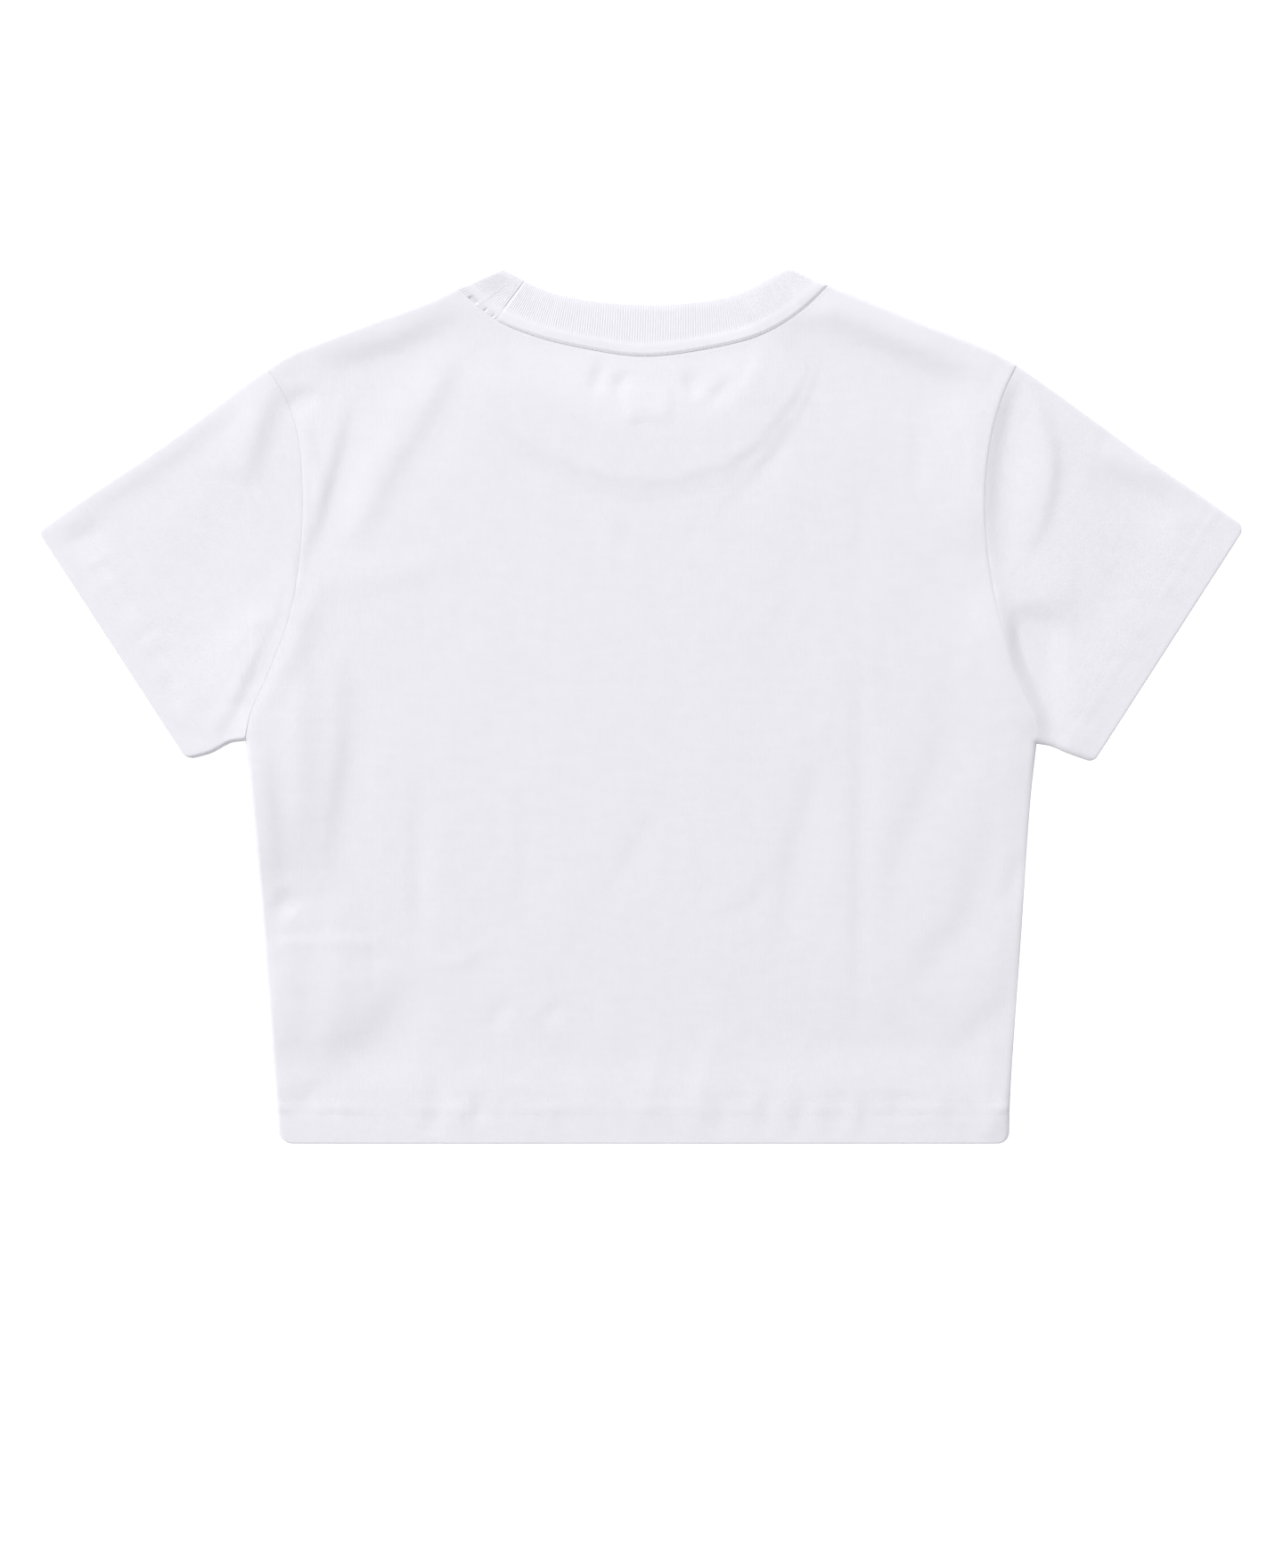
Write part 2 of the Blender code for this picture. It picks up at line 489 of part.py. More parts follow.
def sleeve_plan(side, armhole):
    """Half a sleeve's plan: rows from the armhole to the cuff, columns from the underarm to the shoulder."""
    marks = armhole_marks(armhole)
    outward = -SEAM_GAP if side == "right" else SEAM_GAP
    start = Path(armhole.at(marks)).moved_left(outward).points
    cuff = CUFFS[side].moved_left(HEM_WALL / 2 if side == "right" else -HEM_WALL / 2)
    from_cuff = np.array([CUFF_DEPTH + HEM_STEP / 2, CUFF_DEPTH - HEM_STEP / 2, CUFF_DEPTH / 2, 0.0])
    folds = []
    for fold, first, last in (
        (UNDER_FOLDS[side], start[0], cuff.points[0]),
        (TOP_FOLDS[side], start[-1], cuff.points[-1]),
    ):
        count = round((TOP_FOLDS[side].length - CUFF_DEPTH) / SLEEVE_STEP)
        free = np.linspace(0.0, fold.length - from_cuff[0], count)
        points = fold.at(np.concatenate([free[:-1], fold.length - from_cuff]))
        points[0] = first
        points[-1] = last
        folds.append(points)
    across = marks / armhole.length
    end = cuff.at(across * cuff.length)
    up = np.minimum(np.arange(len(folds[0])) / (len(folds[0]) - len(from_cuff)), 1.0)
    return patch(folds[0], folds[1], start, end, across, up)


def corner_warp(points):
    """Rounds the outline's corners, by easing the square at each one into a quarter disc."""
    plan = points[:, :2]
    for corner in CORNERS:
        tip = np.array(corner.tip)
        sides = np.array([corner.toward_a, corner.toward_b]) - tip
        sides /= np.linalg.norm(sides, axis=1)[:, None]
        within = (plan - tip) @ np.linalg.inv(sides) / corner.radius
        near = np.all((within < 1.0) & (within > -0.3), axis=1)
        a, b = (1.0 - within[near]).T
        eased = np.column_stack([a * np.sqrt(1.0 - b**2 / 2), b * np.sqrt(1.0 - a**2 / 2)])
        plan[near] = tip + (1.0 - eased) * corner.radius @ sides
    return points


# ---------------------------------------------------------------- meshes


class Wall:
    """Collects the points and faces of one closed wall of cloth."""

    def __init__(self):
        self.points = []
        self.faces = []

    def add(self, points):
        """Adds a grid of points, and returns their numbers in the same grid."""
        points = np.asarray(points, float)
        start = len(self.points)
        self.points.extend(points.reshape(-1, 3))
        return np.arange(start, len(self.points)).reshape(points.shape[:-1])

    def skin(self, numbers, closed=False):
        """Covers a grid of numbers with quads; a closed one joins its last column to its first."""
        if closed:
            numbers = np.column_stack([numbers, numbers[:, :1]])
        a, b = numbers[:-1, :-1], numbers[:-1, 1:]
        c, d = numbers[1:, 1:], numbers[1:, :-1]
        self.faces.extend(np.stack([a, b, c, d], axis=-1).reshape(-1, 4).tolist())

    def lace(self, first, first_marks, second, second_marks):
        """Joins two closed loops that have different numbers of points, both marked from 0 to 1."""
        i = j = 0
        while i < len(first) or j < len(second):
            next_first = first_marks[i + 1] if i + 1 < len(first) else 1.0 + (i >= len(first))
            next_second = second_marks[j + 1] if j + 1 < len(second) else 1.0 + (j >= len(second))
            a, b = first[i % len(first)], second[j % len(second)]
            if next_first <= next_second:
                i += 1
                self.faces.append([a, first[i % len(first)], b])
            else:
                j += 1
                self.faces.append([a, second[j % len(second)], b])

    def build(self, name, material):
        """Makes the object, with its faces pointing outwards and its corners rounded."""
        points = corner_warp(np.array(self.points))
        points[:, 0] -= FRAME_MIDDLE.across
        points[:, 1] -= FRAME_MIDDLE.up
        mesh = bpy.data.meshes.new(name)
        mesh.from_pydata(points.tolist(), [], self.faces)
        shape = bmesh.new()
        shape.from_mesh(mesh)
        bmesh.ops.recalc_face_normals(shape, faces=shape.faces)
        shape.to_mesh(mesh)
        shape.free()
        mesh.shade_smooth()
        mesh.set_sharp_from_angle(angle=math.radians(50))
        mesh.materials.append(material)
        piece = bpy.data.objects.new(name, mesh)
        bpy.context.scene.collection.objects.link(piece)
        return piece


def rounded_end(outer, inner, ahead, turns=(0.3, 0.7)):
    """Rows of points that carry a wall round its end, from its outer points to its inner ones."""
    middle = (outer + inner) / 2
    half = (outer - inner) / 2
    reach = np.linalg.norm(half, axis=1)[:, None] * ahead
    return np.array([
        middle + half * math.cos(math.pi * turn) + reach * math.sin(math.pi * turn) for turn in turns
    ])


def panel(name, armholes, neck_seam, upper, material):
    """The back or front panel: a wall with a rounded hem and square seam edges."""
    plan, _ = panel_plan(armholes, neck_seam)
    shape = plan.shape[:2]
    flat = plan.reshape(-1, 2)
    wall = wall_at(flat, name)
    if upper:
        outer, inner = upper_layer(flat, name, wall, wall, ROLL_HEIGHT + SEAM_GAP / 2)
    else:
        outer, inner = lower_layer(flat, wall, wall, ROLL_HEIGHT - SEAM_GAP / 2)
    outer, inner = outer.reshape(*shape, 3), inner.reshape(*shape, 3)
    down = np.array([0.0, -1.0, 0.0])
    cloth = Wall()
    out = cloth.add(outer)
    hem = cloth.add(rounded_end(outer[0], inner[0], down))
    into = cloth.add(inner)
    cloth.skin(out)
    cloth.skin(into[:, ::-1])
    cloth.skin(np.vstack([into[:1], hem[::-1], out[:1]]))
    cloth.skin(np.vstack([out[-1:], into[-1:]]))
    cloth.skin(np.vstack([into[:, 0], out[:, 0]]).T)
    cloth.skin(np.vstack([out[:, -1], into[:, -1]]).T)
    cloth.faces.append([out[0, 0], *hem[:, 0], into[0, 0]])
    cloth.faces.append([into[0, -1], *hem[::-1, -1], out[0, -1]])
    return cloth.build(name, material)


def sleeve(name, side, material):
    """A sleeve: a flattened tube with a rounded cuff."""
    halves = []
    for upper, armhole in ((True, ARMHOLES[side]), (False, FRONT_ARMHOLES[side])):
        plan = sleeve_plan(side, armhole)
        shape = plan.shape[:2]
        flat = plan.reshape(-1, 2)
        wall = wall_at(flat, side)
        if upper:
            layer = upper_layer(flat, side, wall, wall, ROLL_HEIGHT)
        else:
            layer = lower_layer(flat, wall, wall, ROLL_HEIGHT)
        halves.append([points.reshape(*shape, 3) for points in layer])
    outer, inner = (
        np.concatenate([top, bottom[:, ::-1][:, 1:-1]], axis=1) for top, bottom in zip(*halves)
    )
    for fold in (0, halves[0][0].shape[1] - 1):
        outer[:, fold, 2] = ROLL_HEIGHT
        inner[:, fold, 2] = ROLL_HEIGHT
    cuff = CUFFS[side].points[1] - CUFFS[side].points[0]
    ahead = np.array([cuff[1], -cuff[0], 0.0]) / np.linalg.norm(cuff)
    if side == "left":
        ahead = -ahead
    cloth = Wall()
    out = cloth.add(outer)
    end = cloth.add(rounded_end(outer[-1], inner[-1], ahead))
    into = cloth.add(inner)
    cloth.skin(out, closed=True)
    cloth.skin(into[:, ::-1], closed=True)
    cloth.skin(np.vstack([out[-1:], end, into[-1:]]), closed=True)
    cloth.skin(np.vstack([into[:1], out[:1]]), closed=True)
    return cloth.build(name, material)


def neckband_columns(part, pitch):
    """Points along the seam and the edge of the neckband's back or front, and their seam distances."""
    plan, neck_columns = panel_plan(ARMHOLES, NECK_SEAMS[part])
    seam = Path(plan[-1, neck_columns]).moved_left(SEAM_GAP)
    edge = NECK_EDGES[part].moved_left(-RIB_WALL / 2)
    marks = marks_between(seam.length, pitch)
    return seam.at(marks), edge.at(marks / seam.length * edge.length), marks


def neckband_layer(part, seam, edge, shares, relief=0.0):
    """Outer and inner points of half the neckband, one row for each share of its width."""
    outers, inners = [], []
    for share in shares:
        plan = seam + (edge - seam) * share
        edge_wall = CLOTH_WALL + (RIB_WALL - CLOTH_WALL) * min(1.0, 4 * share)
        if part == "front":
            outer, inner = lower_layer(plan, RIB_WALL, edge_wall, ROLL_HEIGHT)
        else:
            width = np.linalg.norm(edge - seam, axis=1)
            along = share * width / ROLL_BAND
            roll = np.where(along < 1.0, np.sin(math.pi * np.clip(along, 0.0, 1.0)), 0.0)
            ribbed = relief * np.where(along < 1.0, 0.3, 1.0)
            raised = ROLL_BAND_RISE * roll + ribbed
            outer, inner = upper_layer(plan, part, RIB_WALL, edge_wall, ROLL_HEIGHT, raised)
        outers.append(outer)
        inners.append(inner)
    return np.array(outers), np.array(inners)


def neckband(name, material):
    """The neckband: a flattened ring of folded rib, ribbed where it shows and plain inside."""
    shares = (0.0, 0.07, 0.15, 0.26, 0.62, 1.0)
    plain_shares = (0.0, 0.5, 1.0)
    rings = []
    for pitch, rows in ((RIB_PITCH / 2, shares), (STEP, plain_shares)):
        seam, edge, marks = neckband_columns("back", pitch)
        ridge = np.where(np.arange(len(marks)) % 2 == 0, 0.5, -0.5) * RIB_RELIEF
        back = neckband_layer("back", seam, edge, rows, ridge)
        back_share = marks / marks[-1] / 2
        seam, edge, marks = neckband_columns("front", STEP)
        front = neckband_layer("front", seam, edge, rows)
        front_share = 0.5 + (1.0 - marks[::-1] / marks[-1]) / 2
        ring_marks = np.concatenate([back_share, front_share[1:-1]])
        ring = [np.concatenate([a, b[:, ::-1][:, 1:-1]], axis=1) for a, b in zip(back, front)]
        for layer in ring:
            layer[:, [0, len(back_share) - 1], 2] = ROLL_HEIGHT
        rings.append((ring, ring_marks))
    (fine, fine_marks), (plain, plain_marks) = rings
    outer, beneath = fine
    inner = plain[1]
    across = outer[-1] - outer[-2]
    across[:, 2] = 0.0
    ahead = across / np.linalg.norm(across, axis=1)[:, None]
    cloth = Wall()
    out = cloth.add(outer)
    edge = cloth.add(rounded_end(outer[-1], beneath[-1], ahead))
    into = cloth.add(inner)
    cloth.skin(out, closed=True)
    cloth.skin(np.vstack([out[-1:], edge]), closed=True)
    cloth.skin(into[::-1], closed=True)
    cloth.lace(edge[-1], fine_marks, into[-1], plain_marks)
    cloth.lace(out[0], fine_marks, into[0], plain_marks)
    return cloth.build(name, material)


def cloth_material(name, colour, roughness):
    """A plain matt cloth."""
    material = bpy.data.materials.new(name)
    material.use_nodes = True
    shader = material.node_tree.nodes["Principled BSDF"]
    shader.inputs["Base Color"].default_value = colour
    shader.inputs["Roughness"].default_value = roughness
    shader.inputs["Metallic"].default_value = 0.0
    return material


def main():
    """Clears the scene and makes the shirt's pieces."""
    for old in list(bpy.data.objects):
        bpy.data.objects.remove(old)
    jersey = {
        name: cloth_material(f"jersey_{name}", JERSEY_COLOUR, JERSEY_ROUGHNESS)
        for name in ("back", "front", "sleeve_left", "sleeve_right")
    }
    panel("back_panel", ARMHOLES, NECK_SEAMS["back"], True, jersey["back"])
    panel("front_panel", FRONT_ARMHOLES, NECK_SEAMS["front"], False, jersey["front"])
    for side in ("left", "right"):
        sleeve(f"sleeve_{side}", side, jersey[f"sleeve_{side}"])
    neckband("neck_rib", cloth_material("rib_knit", RIB_COLOUR, RIB_ROUGHNESS))


main()
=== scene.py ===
"""A cropped crew-neck T-shirt lying face down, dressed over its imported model.

Each piece of cloth is a thin shell with the plan and the lie of its solid, with finer creases,
hems, ribs and sewing. Tables are in millimetres: across from the middle line, and up from the
hem. Meshes are in metres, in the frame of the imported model.
"""

import logging
import math
from dataclasses import dataclass, field
from enum import Enum
from typing import NamedTuple

import bmesh
import bpy
import numpy as np
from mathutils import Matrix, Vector
from mathutils.bvhtree import BVHTree


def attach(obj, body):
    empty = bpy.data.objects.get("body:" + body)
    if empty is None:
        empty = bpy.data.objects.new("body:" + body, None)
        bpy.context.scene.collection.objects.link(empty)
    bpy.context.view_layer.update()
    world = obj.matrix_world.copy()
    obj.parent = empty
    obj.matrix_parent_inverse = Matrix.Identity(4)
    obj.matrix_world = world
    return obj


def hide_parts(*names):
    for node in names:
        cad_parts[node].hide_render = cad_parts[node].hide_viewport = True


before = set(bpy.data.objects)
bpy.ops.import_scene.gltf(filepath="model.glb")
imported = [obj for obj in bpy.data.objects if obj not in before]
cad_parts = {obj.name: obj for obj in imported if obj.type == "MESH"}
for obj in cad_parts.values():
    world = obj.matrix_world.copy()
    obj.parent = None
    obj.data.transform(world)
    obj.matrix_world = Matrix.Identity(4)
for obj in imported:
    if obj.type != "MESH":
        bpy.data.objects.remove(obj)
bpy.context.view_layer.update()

LOG = logging.getLogger("shirt")

Spots = tuple[tuple[float, float], ...]
Table = tuple[tuple[float, ...], ...]

MM = 0.001
SHARP = math.radians(60.0)  # edges that turn by more than this are drawn sharp
NUDGE = 0.0001  # a step along a line, to read its direction
ON_FOLD = 0.0002  # points this close to a fold are on it
TINY = 1e-9
END_TURNS = (0.2, 0.4, 0.6, 0.8)  # how far round a wall's end its rows are
# the middle of the shirt's box, from the middle line and the hem
FRAME_MIDDLE = np.array([-0.0002, 0.2452, 0.0])


class Side(Enum):
    """A half of the shirt, as it lies."""

    LEFT = "left"
    RIGHT = "right"

    @property
    def turn(self) -> float:
        """1 on the right, and -1 on the left."""
        return 1.0 if self is Side.RIGHT else -1.0


class Zone(Enum):
    """The layer of cloth whose lie is asked for."""

    BODY = "body"
    LEFT_SLEEVE = "left"
    RIGHT_SLEEVE = "right"


class Layer(Enum):
    """The upper layer of the flattened shirt, or the one that lies on the surface."""

    UPPER = "upper"
    LOWER = "lower"


# ---------------- plan curves, in millimetres

HEM_LEFT = (-203.2, 0.0)
HEM_RIGHT = (206.0, 0.0)
UNDERARM_LEFT = (-222.0, 225.5)
UNDERARM_RIGHT = (221.5, 224.0)
SIDE_LEFT: Spots = (HEM_LEFT, (-205.5, 31.5), (-211.5, 111.5), (-218.5, 191.5), UNDERARM_LEFT)
SIDE_RIGHT: Spots = (HEM_RIGHT, (207.0, 31.5), (212.5, 111.5), (218.0, 191.5), UNDERARM_RIGHT)

SHOULDER_LEFT = (-210.0, 435.0)
SHOULDER_RIGHT = (210.0, 436.5)
ARMHOLE_LEFT: Spots = (
    UNDERARM_LEFT, (-218.5, 242.0), (-208.5, 265.0), (-197.2, 296.5), (-191.5, 330.0),
    (-190.0, 365.0), (-193.0, 398.0), (-200.0, 419.0), SHOULDER_LEFT,
)
ARMHOLE_RIGHT: Spots = (
    UNDERARM_RIGHT, (219.5, 241.0), (208.5, 265.0), (199.5, 298.0), (193.5, 333.0),
    (192.2, 368.0), (196.0, 398.0), (202.5, 420.5), SHOULDER_RIGHT,
)
FRONT_SCOOP = 8.0  # the front armhole is cut this much deeper

CUFF_LOW_LEFT = (-254.8, 215.0)
CUFF_LOW_RIGHT = (253.2, 213.5)
CUFF_HIGH_LEFT = (-338.8, 344.0)
CUFF_HIGH_RIGHT = (338.4, 345.8)
UNDER_FOLD_LEFT: Spots = (UNDERARM_LEFT, (-230.0, 224.3), (-241.0, 218.6), CUFF_LOW_LEFT)
UNDER_FOLD_RIGHT: Spots = (UNDERARM_RIGHT, (229.5, 222.5), (239.0, 218.5), CUFF_LOW_RIGHT)
TOP_FOLD_LEFT: Spots = (
    SHOULDER_LEFT, (-220.0, 428.5), (-247.5, 407.5), (-277.5, 386.0), (-307.5, 366.0),
    CUFF_HIGH_LEFT,
)
TOP_FOLD_RIGHT: Spots = (
    SHOULDER_RIGHT, (217.5, 431.5), (247.5, 410.0), (277.5, 388.0), (307.5, 367.5), CUFF_HIGH_RIGHT,
)

NECK_END_LEFT = (-103.5, 480.0)
NECK_END_RIGHT = (104.5, 481.5)
SHOULDER_FOLD_LEFT: Spots = (
    SHOULDER_LEFT, (-195.0, 443.8), (-150.0, 461.5), (-120.0, 472.5), NECK_END_LEFT,
)
SHOULDER_FOLD_RIGHT: Spots = (
    SHOULDER_RIGHT, (195.0, 445.0), (150.0, 463.0), (120.0, 475.5), NECK_END_RIGHT,
)
PEAK_LEFT = (-79.0, 490.5)
PEAK_RIGHT = (83.0, 491.0)

NECK_SEAM_BACK: Spots = (
    NECK_END_LEFT, (-93.0, 470.2), (-80.0, 460.7), (-60.0, 452.5), (-35.0, 446.2), (1.0, 441.2),
    (40.0, 446.0), (65.0, 452.5), (81.0, 460.7), (93.0, 469.8), NECK_END_RIGHT,
)
NECK_EDGE_BACK: Spots = (
    PEAK_LEFT, (-70.0, 486.2), (-60.0, 480.8), (-40.0, 474.5), (3.0, 470.3), (45.0, 474.0),
    (62.0, 480.0), (73.0, 486.0), PEAK_RIGHT,
)
NECK_SEAM_FRONT: Spots = (
    NECK_END_LEFT, (-98.5, 448.0), (-90.0, 421.5), (-79.0, 404.5), (-58.0, 389.5), (3.0, 371.5),
    (62.0, 389.5), (81.0, 406.5), (91.5, 423.0), (98.5, 448.0), NECK_END_RIGHT,
)
NECK_EDGE_FRONT: Spots = (
    PEAK_LEFT, (-71.5, 450.0), (-65.0, 434.0), (-58.0, 424.5), (-44.0, 414.0), (3.0, 399.5),
    (48.0, 414.0), (60.0, 425.5), (66.5, 435.5), (72.0, 450.0), PEAK_RIGHT,
)


class Crease(NamedTuple):
    """A soft ridge, or a trough if its height is negative, in millimetres.

    Its widths are those on the left and right of its route, in the direction in which it runs.
    """

    route: Spots
    height: float
    left: float
    right: float


CREASES = (
    # beside the left armhole
    Crease(((-158.5, 416), (-162, 405), (-168.5, 378), (-175.5, 351), (-182.5, 331),
            (-188, 320)), -1.3, 15, 5.5),
    Crease(((-167, 412), (-170, 398), (-175, 379), (-182, 352), (-187, 338)), 0.6, 4.4, 7),
    Crease(((-104, 446), (-118.5, 420), (-132, 397)), 0.9, 7.5, 17),
    Crease(((-127, 404), (-142.5, 380), (-157, 352), (-172, 332)), 1, 8, 17),
    Crease(((-98, 434), (-113, 405), (-130, 378), (-145, 348)), -0.4, 14, 7.5),
    Crease(((-190, 412), (-187.5, 395), (-180.5, 370), (-178, 358)), 0.5, 3.2, 5),
    Crease(((-199, 410), (-191, 418), (-180, 419)), -1.2, 4.2, 10),
    Crease(((-188, 441.5), (-165, 446.5), (-140, 453.5), (-112, 466), (-97, 473.5)), 1.3, 15, 9.5),
    Crease(((-188, 433), (-165, 434.5), (-140, 440.5), (-114, 452.5), (-98, 464)), -1.5, 11, 28),
    Crease(((-190, 312), (-160, 315.5), (-130, 320), (-92, 335)), 0.35, 12, 6),
    Crease(((-183, 320), (-189, 300), (-197.5, 279), (-208, 257), (-218, 239),
            (-224, 224)), 1.7, 9, 17),
    # left sleeve
    Crease(((-203, 434), (-208, 424), (-215.6, 403.5), (-221, 384), (-224, 368)), 2, 7.5, 14),
    Crease(((-196, 301), (-201, 292.5), (-210.6, 276), (-219, 254), (-231, 230),
            (-238, 220)), -1.1, 16, 5.5),
    Crease(((-206, 298), (-213.5, 282), (-223.5, 264), (-237, 237), (-244, 224)), 1.4, 8, 26),
    Crease(((-208, 300), (-222, 286), (-230, 276), (-234, 262)), 0.4, 4.5, 9),
    Crease(((-220.5, 419.5), (-244, 402.6), (-274, 381.1), (-304, 361.1),
            (-321.5, 348.6)), 0.8, 6.5, 11),
    Crease(((-324, 334), (-314, 339), (-302, 347)), -0.7, 4.5, 10),
    Crease(((-240, 398), (-252, 360), (-270, 330)), 0.35, 14, 14),
    Crease(((-268, 262), (-260, 243)), -0.4, 4, 4),
    # left side of the body
    Crease(((-219, 262), (-219.5, 215), (-214, 160), (-209, 112)), 2.2, 36, 12),
    Crease(((-222, 248), (-219.5, 228), (-215.5, 208), (-210.5, 175), (-208, 146)), 1.7, 8, 24),
    Crease(((-203.5, 240), (-203.5, 210), (-201, 175), (-199.5, 148)), -0.5, 22, 4),
    Crease(((-194, 290), (-194, 215), (-194, 150)), 1.9, 11, 36),
    Crease(((-172.5, 279), (-172.5, 222), (-177, 188), (-180, 150)), 1.4, 8, 27),
    Crease(((-165, 262), (-165, 215), (-169.5, 182), (-172, 146)), -0.5, 15, 6),
    Crease(((-205, 139), (-200, 134), (-195, 128)), -1.35, 6.5, 6.5),
    Crease(((-130, 95), (-133, 84), (-142, 62), (-158, 48), (-178, 40)), -1, 18, 14),
    Crease(((-146, 106), (-149, 92), (-155, 79), (-167, 68), (-184, 61)), 1.2, 15, 24),
    Crease(((-170, 142), (-172, 108), (-175, 80), (-181, 60), (-189, 44)), 1.5, 14, 27),
    Crease(((-196, 142), (-199, 108), (-202, 76), (-207, 44)), 1.4, 14, 28),
    Crease(((-130, 103.5), (-107, 100.5), (-84, 113)), 0.35, 2.6, 3),
    Crease(((-73, 82), (-87, 64)), -0.45, 6, 3.6),
    Crease(((-45, 79), (-57, 66.5)), -0.4, 6, 3.6),
    Crease(((-126, 202), (-125.5, 150), (-126, 110)), -0.6, 7.5, 4.2),
    Crease(((-68, 205), (-66, 160), (-70, 120)), -0.25, 7, 3.5),
    # middle and right side of the body
    Crease(((8, 184), (-7, 159), (-17, 139)), -0.35, 10, 5),
    Crease(((71.5, 158), (64, 136), (42, 126)), -0.36, 9, 4),
    Crease(((43, 157), (36, 142), (28, 126)), -0.22, 8, 4),
    Crease(((102, 220), (95, 192), (87.7, 163), (81.5, 126), (80.5, 103)), -0.78, 12, 7.5),
    Crease(((122, 274), (122.3, 200), (121.8, 140), (122, 60)), -0.6, 8, 4),
    Crease(((170, 262), (168, 218), (157, 188), (145, 158), (142, 135), (141, 112)), -0.75, 14, 9),
    Crease(((197, 185), (192.5, 157), (185, 127), (168, 106), (154, 84)), -1, 15, 9.5),
    Crease(((217, 166), (206.5, 143), (200, 131)), -0.7, 9, 5.5),
    Crease(((213, 97), (204, 77), (189, 62), (172, 46)), -0.85, 13, 9),
    Crease(((60, 60), (120, 55), (185, 60)), -0.5, 22, 10),
    Crease(((204, 28), (193, 2)), 0.7, 6, 6),
    # right shoulder, armhole and sleeve
    Crease(((82, 466), (98, 467.5), (117.5, 463.5), (143, 453), (166, 444.5), (186, 436.5),
            (200, 429.5)), 2, 16, 12.5),
    Crease(((80, 456.5), (104, 451), (135, 438.5), (158, 428.5), (186, 418)), -1.7, 13, 30),
    Crease(((152, 420), (154, 390), (151, 360)), -0.3, 7, 3),
    Crease(((120, 390), (123, 350), (120, 300)), -0.25, 8, 3.5),
    Crease(((184, 415), (184.5, 390), (184, 366)), 0.3, 8, 2.8),
    Crease(((211, 428), (209, 402), (207.3, 370), (206.8, 340), (207.5, 318)), -1.2, 14, 7.5),
    Crease(((210.5, 438), (216.5, 424), (223.3, 406), (228, 388), (228, 372), (223.5, 352),
            (213, 329)), 1.75, 5, 20),
    Crease(((212, 304), (216, 290), (219, 272), (224.5, 253), (233, 234),
            (243, 222)), -1.5, 14, 8.5),
    Crease(((203, 305), (224, 306), (246, 306)), 1.1, 22, 10.5),
    Crease(((205, 283), (221, 284), (240, 283)), -1.2, 12, 20),
    Crease(((230, 293), (233, 279), (236, 266), (241, 252), (248, 240)), 0.65, 9, 14),
    Crease(((257, 390), (285, 376), (310, 364)), 1.2, 8, 9.5),
    Crease(((250, 377), (278, 364), (300, 351)), -0.9, 10, 15),
    Crease(((250, 392), (258, 350), (282, 315)), 0.35, 13, 13),
    # below the back of the neck
    Crease(((-22, 438), (-24.5, 430), (-28, 420)), -0.8, 5, 3),
    Crease(((-7.5, 432), (-11, 427.5), (-15.5, 422)), -0.7, 5, 2.6),
    Crease(((-17.5, 436), (-20, 428)), 0.25, 4, 2.2),
    Crease(((26.5, 433), (27.5, 425.5), (29, 417)), -1, 7, 2.8),
    Crease(((51, 427), (44, 421), (36, 415)), -0.75, 6, 3.4),
    Crease(((66, 440), (57.5, 422)), 0.35, 7, 2.8),
    Crease(((-9, 407.2), (1, 406.8)), 0.22, 9, 2.4),
    Crease(((6, 407), (16.5, 407)), 0.2, 9, 2.4),
    # along the print of the front neckline
    Crease(((52, 377), (62, 387), (70, 389)), -0.3, 2.4, 5),
    Crease(((64, 375), (74, 390), (85, 402)), -0.3, 2.8, 5),
    Crease(((93, 405), (74, 383), (58, 367), (42, 353)), -0.35, 8, 3),
    Crease(((-10, 348), (-12, 334)), -0.3, 6, 3),
    Crease(((29, 346), (24, 332)), -0.3, 6, 3),
    # crossing the hem
    Crease(((12, 62), (4, 28), (-2, 3)), 0.35, 6, 6),
    Crease(((40, 58), (32, 26), (28, 2)), 0.35, 5, 5),
    Crease(((46, 30), (45, 14), (44, 3)), -0.4, 6, 4.2),
    Crease(((70, 31), (68, 14), (69, 3)), -0.45, 7, 4.2),
    Crease(((88, 26), (88.5, 14), (87, 3)), -0.4, 6, 4),
    Crease(((108, 29), (107, 14), (109, 3)), -0.45, 7, 4.2),
    Crease(((124, 28), (126, 15), (124, 3)), -0.4, 7, 4.2),
    Crease(((144, 28), (143, 12)), -0.45, 8, 4.5),
    Crease(((-194, 16), (-184, 29), (-172, 34)), -0.7, 5, 8),
    Crease(((-117, 38), (-116, 20), (-120, 3)), -0.8, 8, 5.5),
    Crease(((-91, 27), (-90, 10)), -0.5, 7, 4.2),
    Crease(((-40, 26), (-44, 10)), -0.3, 6, 3.5),
    Crease(((-103, 24), (-100, 9)), 0.3, 4, 4),
)

CORNERS = (
    # tip, a point along each of its two edges, and its radius
    (HEM_LEFT, HEM_RIGHT, UNDERARM_LEFT, 8.0),
    (HEM_RIGHT, HEM_LEFT, UNDERARM_RIGHT, 6.5),
    (CUFF_LOW_LEFT, CUFF_HIGH_LEFT, UNDER_FOLD_LEFT[-2], 4.5),
    (CUFF_LOW_RIGHT, CUFF_HIGH_RIGHT, UNDER_FOLD_RIGHT[-2], 3.5),
    (CUFF_HIGH_LEFT, CUFF_LOW_LEFT, TOP_FOLD_LEFT[-2], 5.5),
    (CUFF_HIGH_RIGHT, CUFF_LOW_RIGHT, TOP_FOLD_RIGHT[-2], 5.5),
)


# ---------------- curves


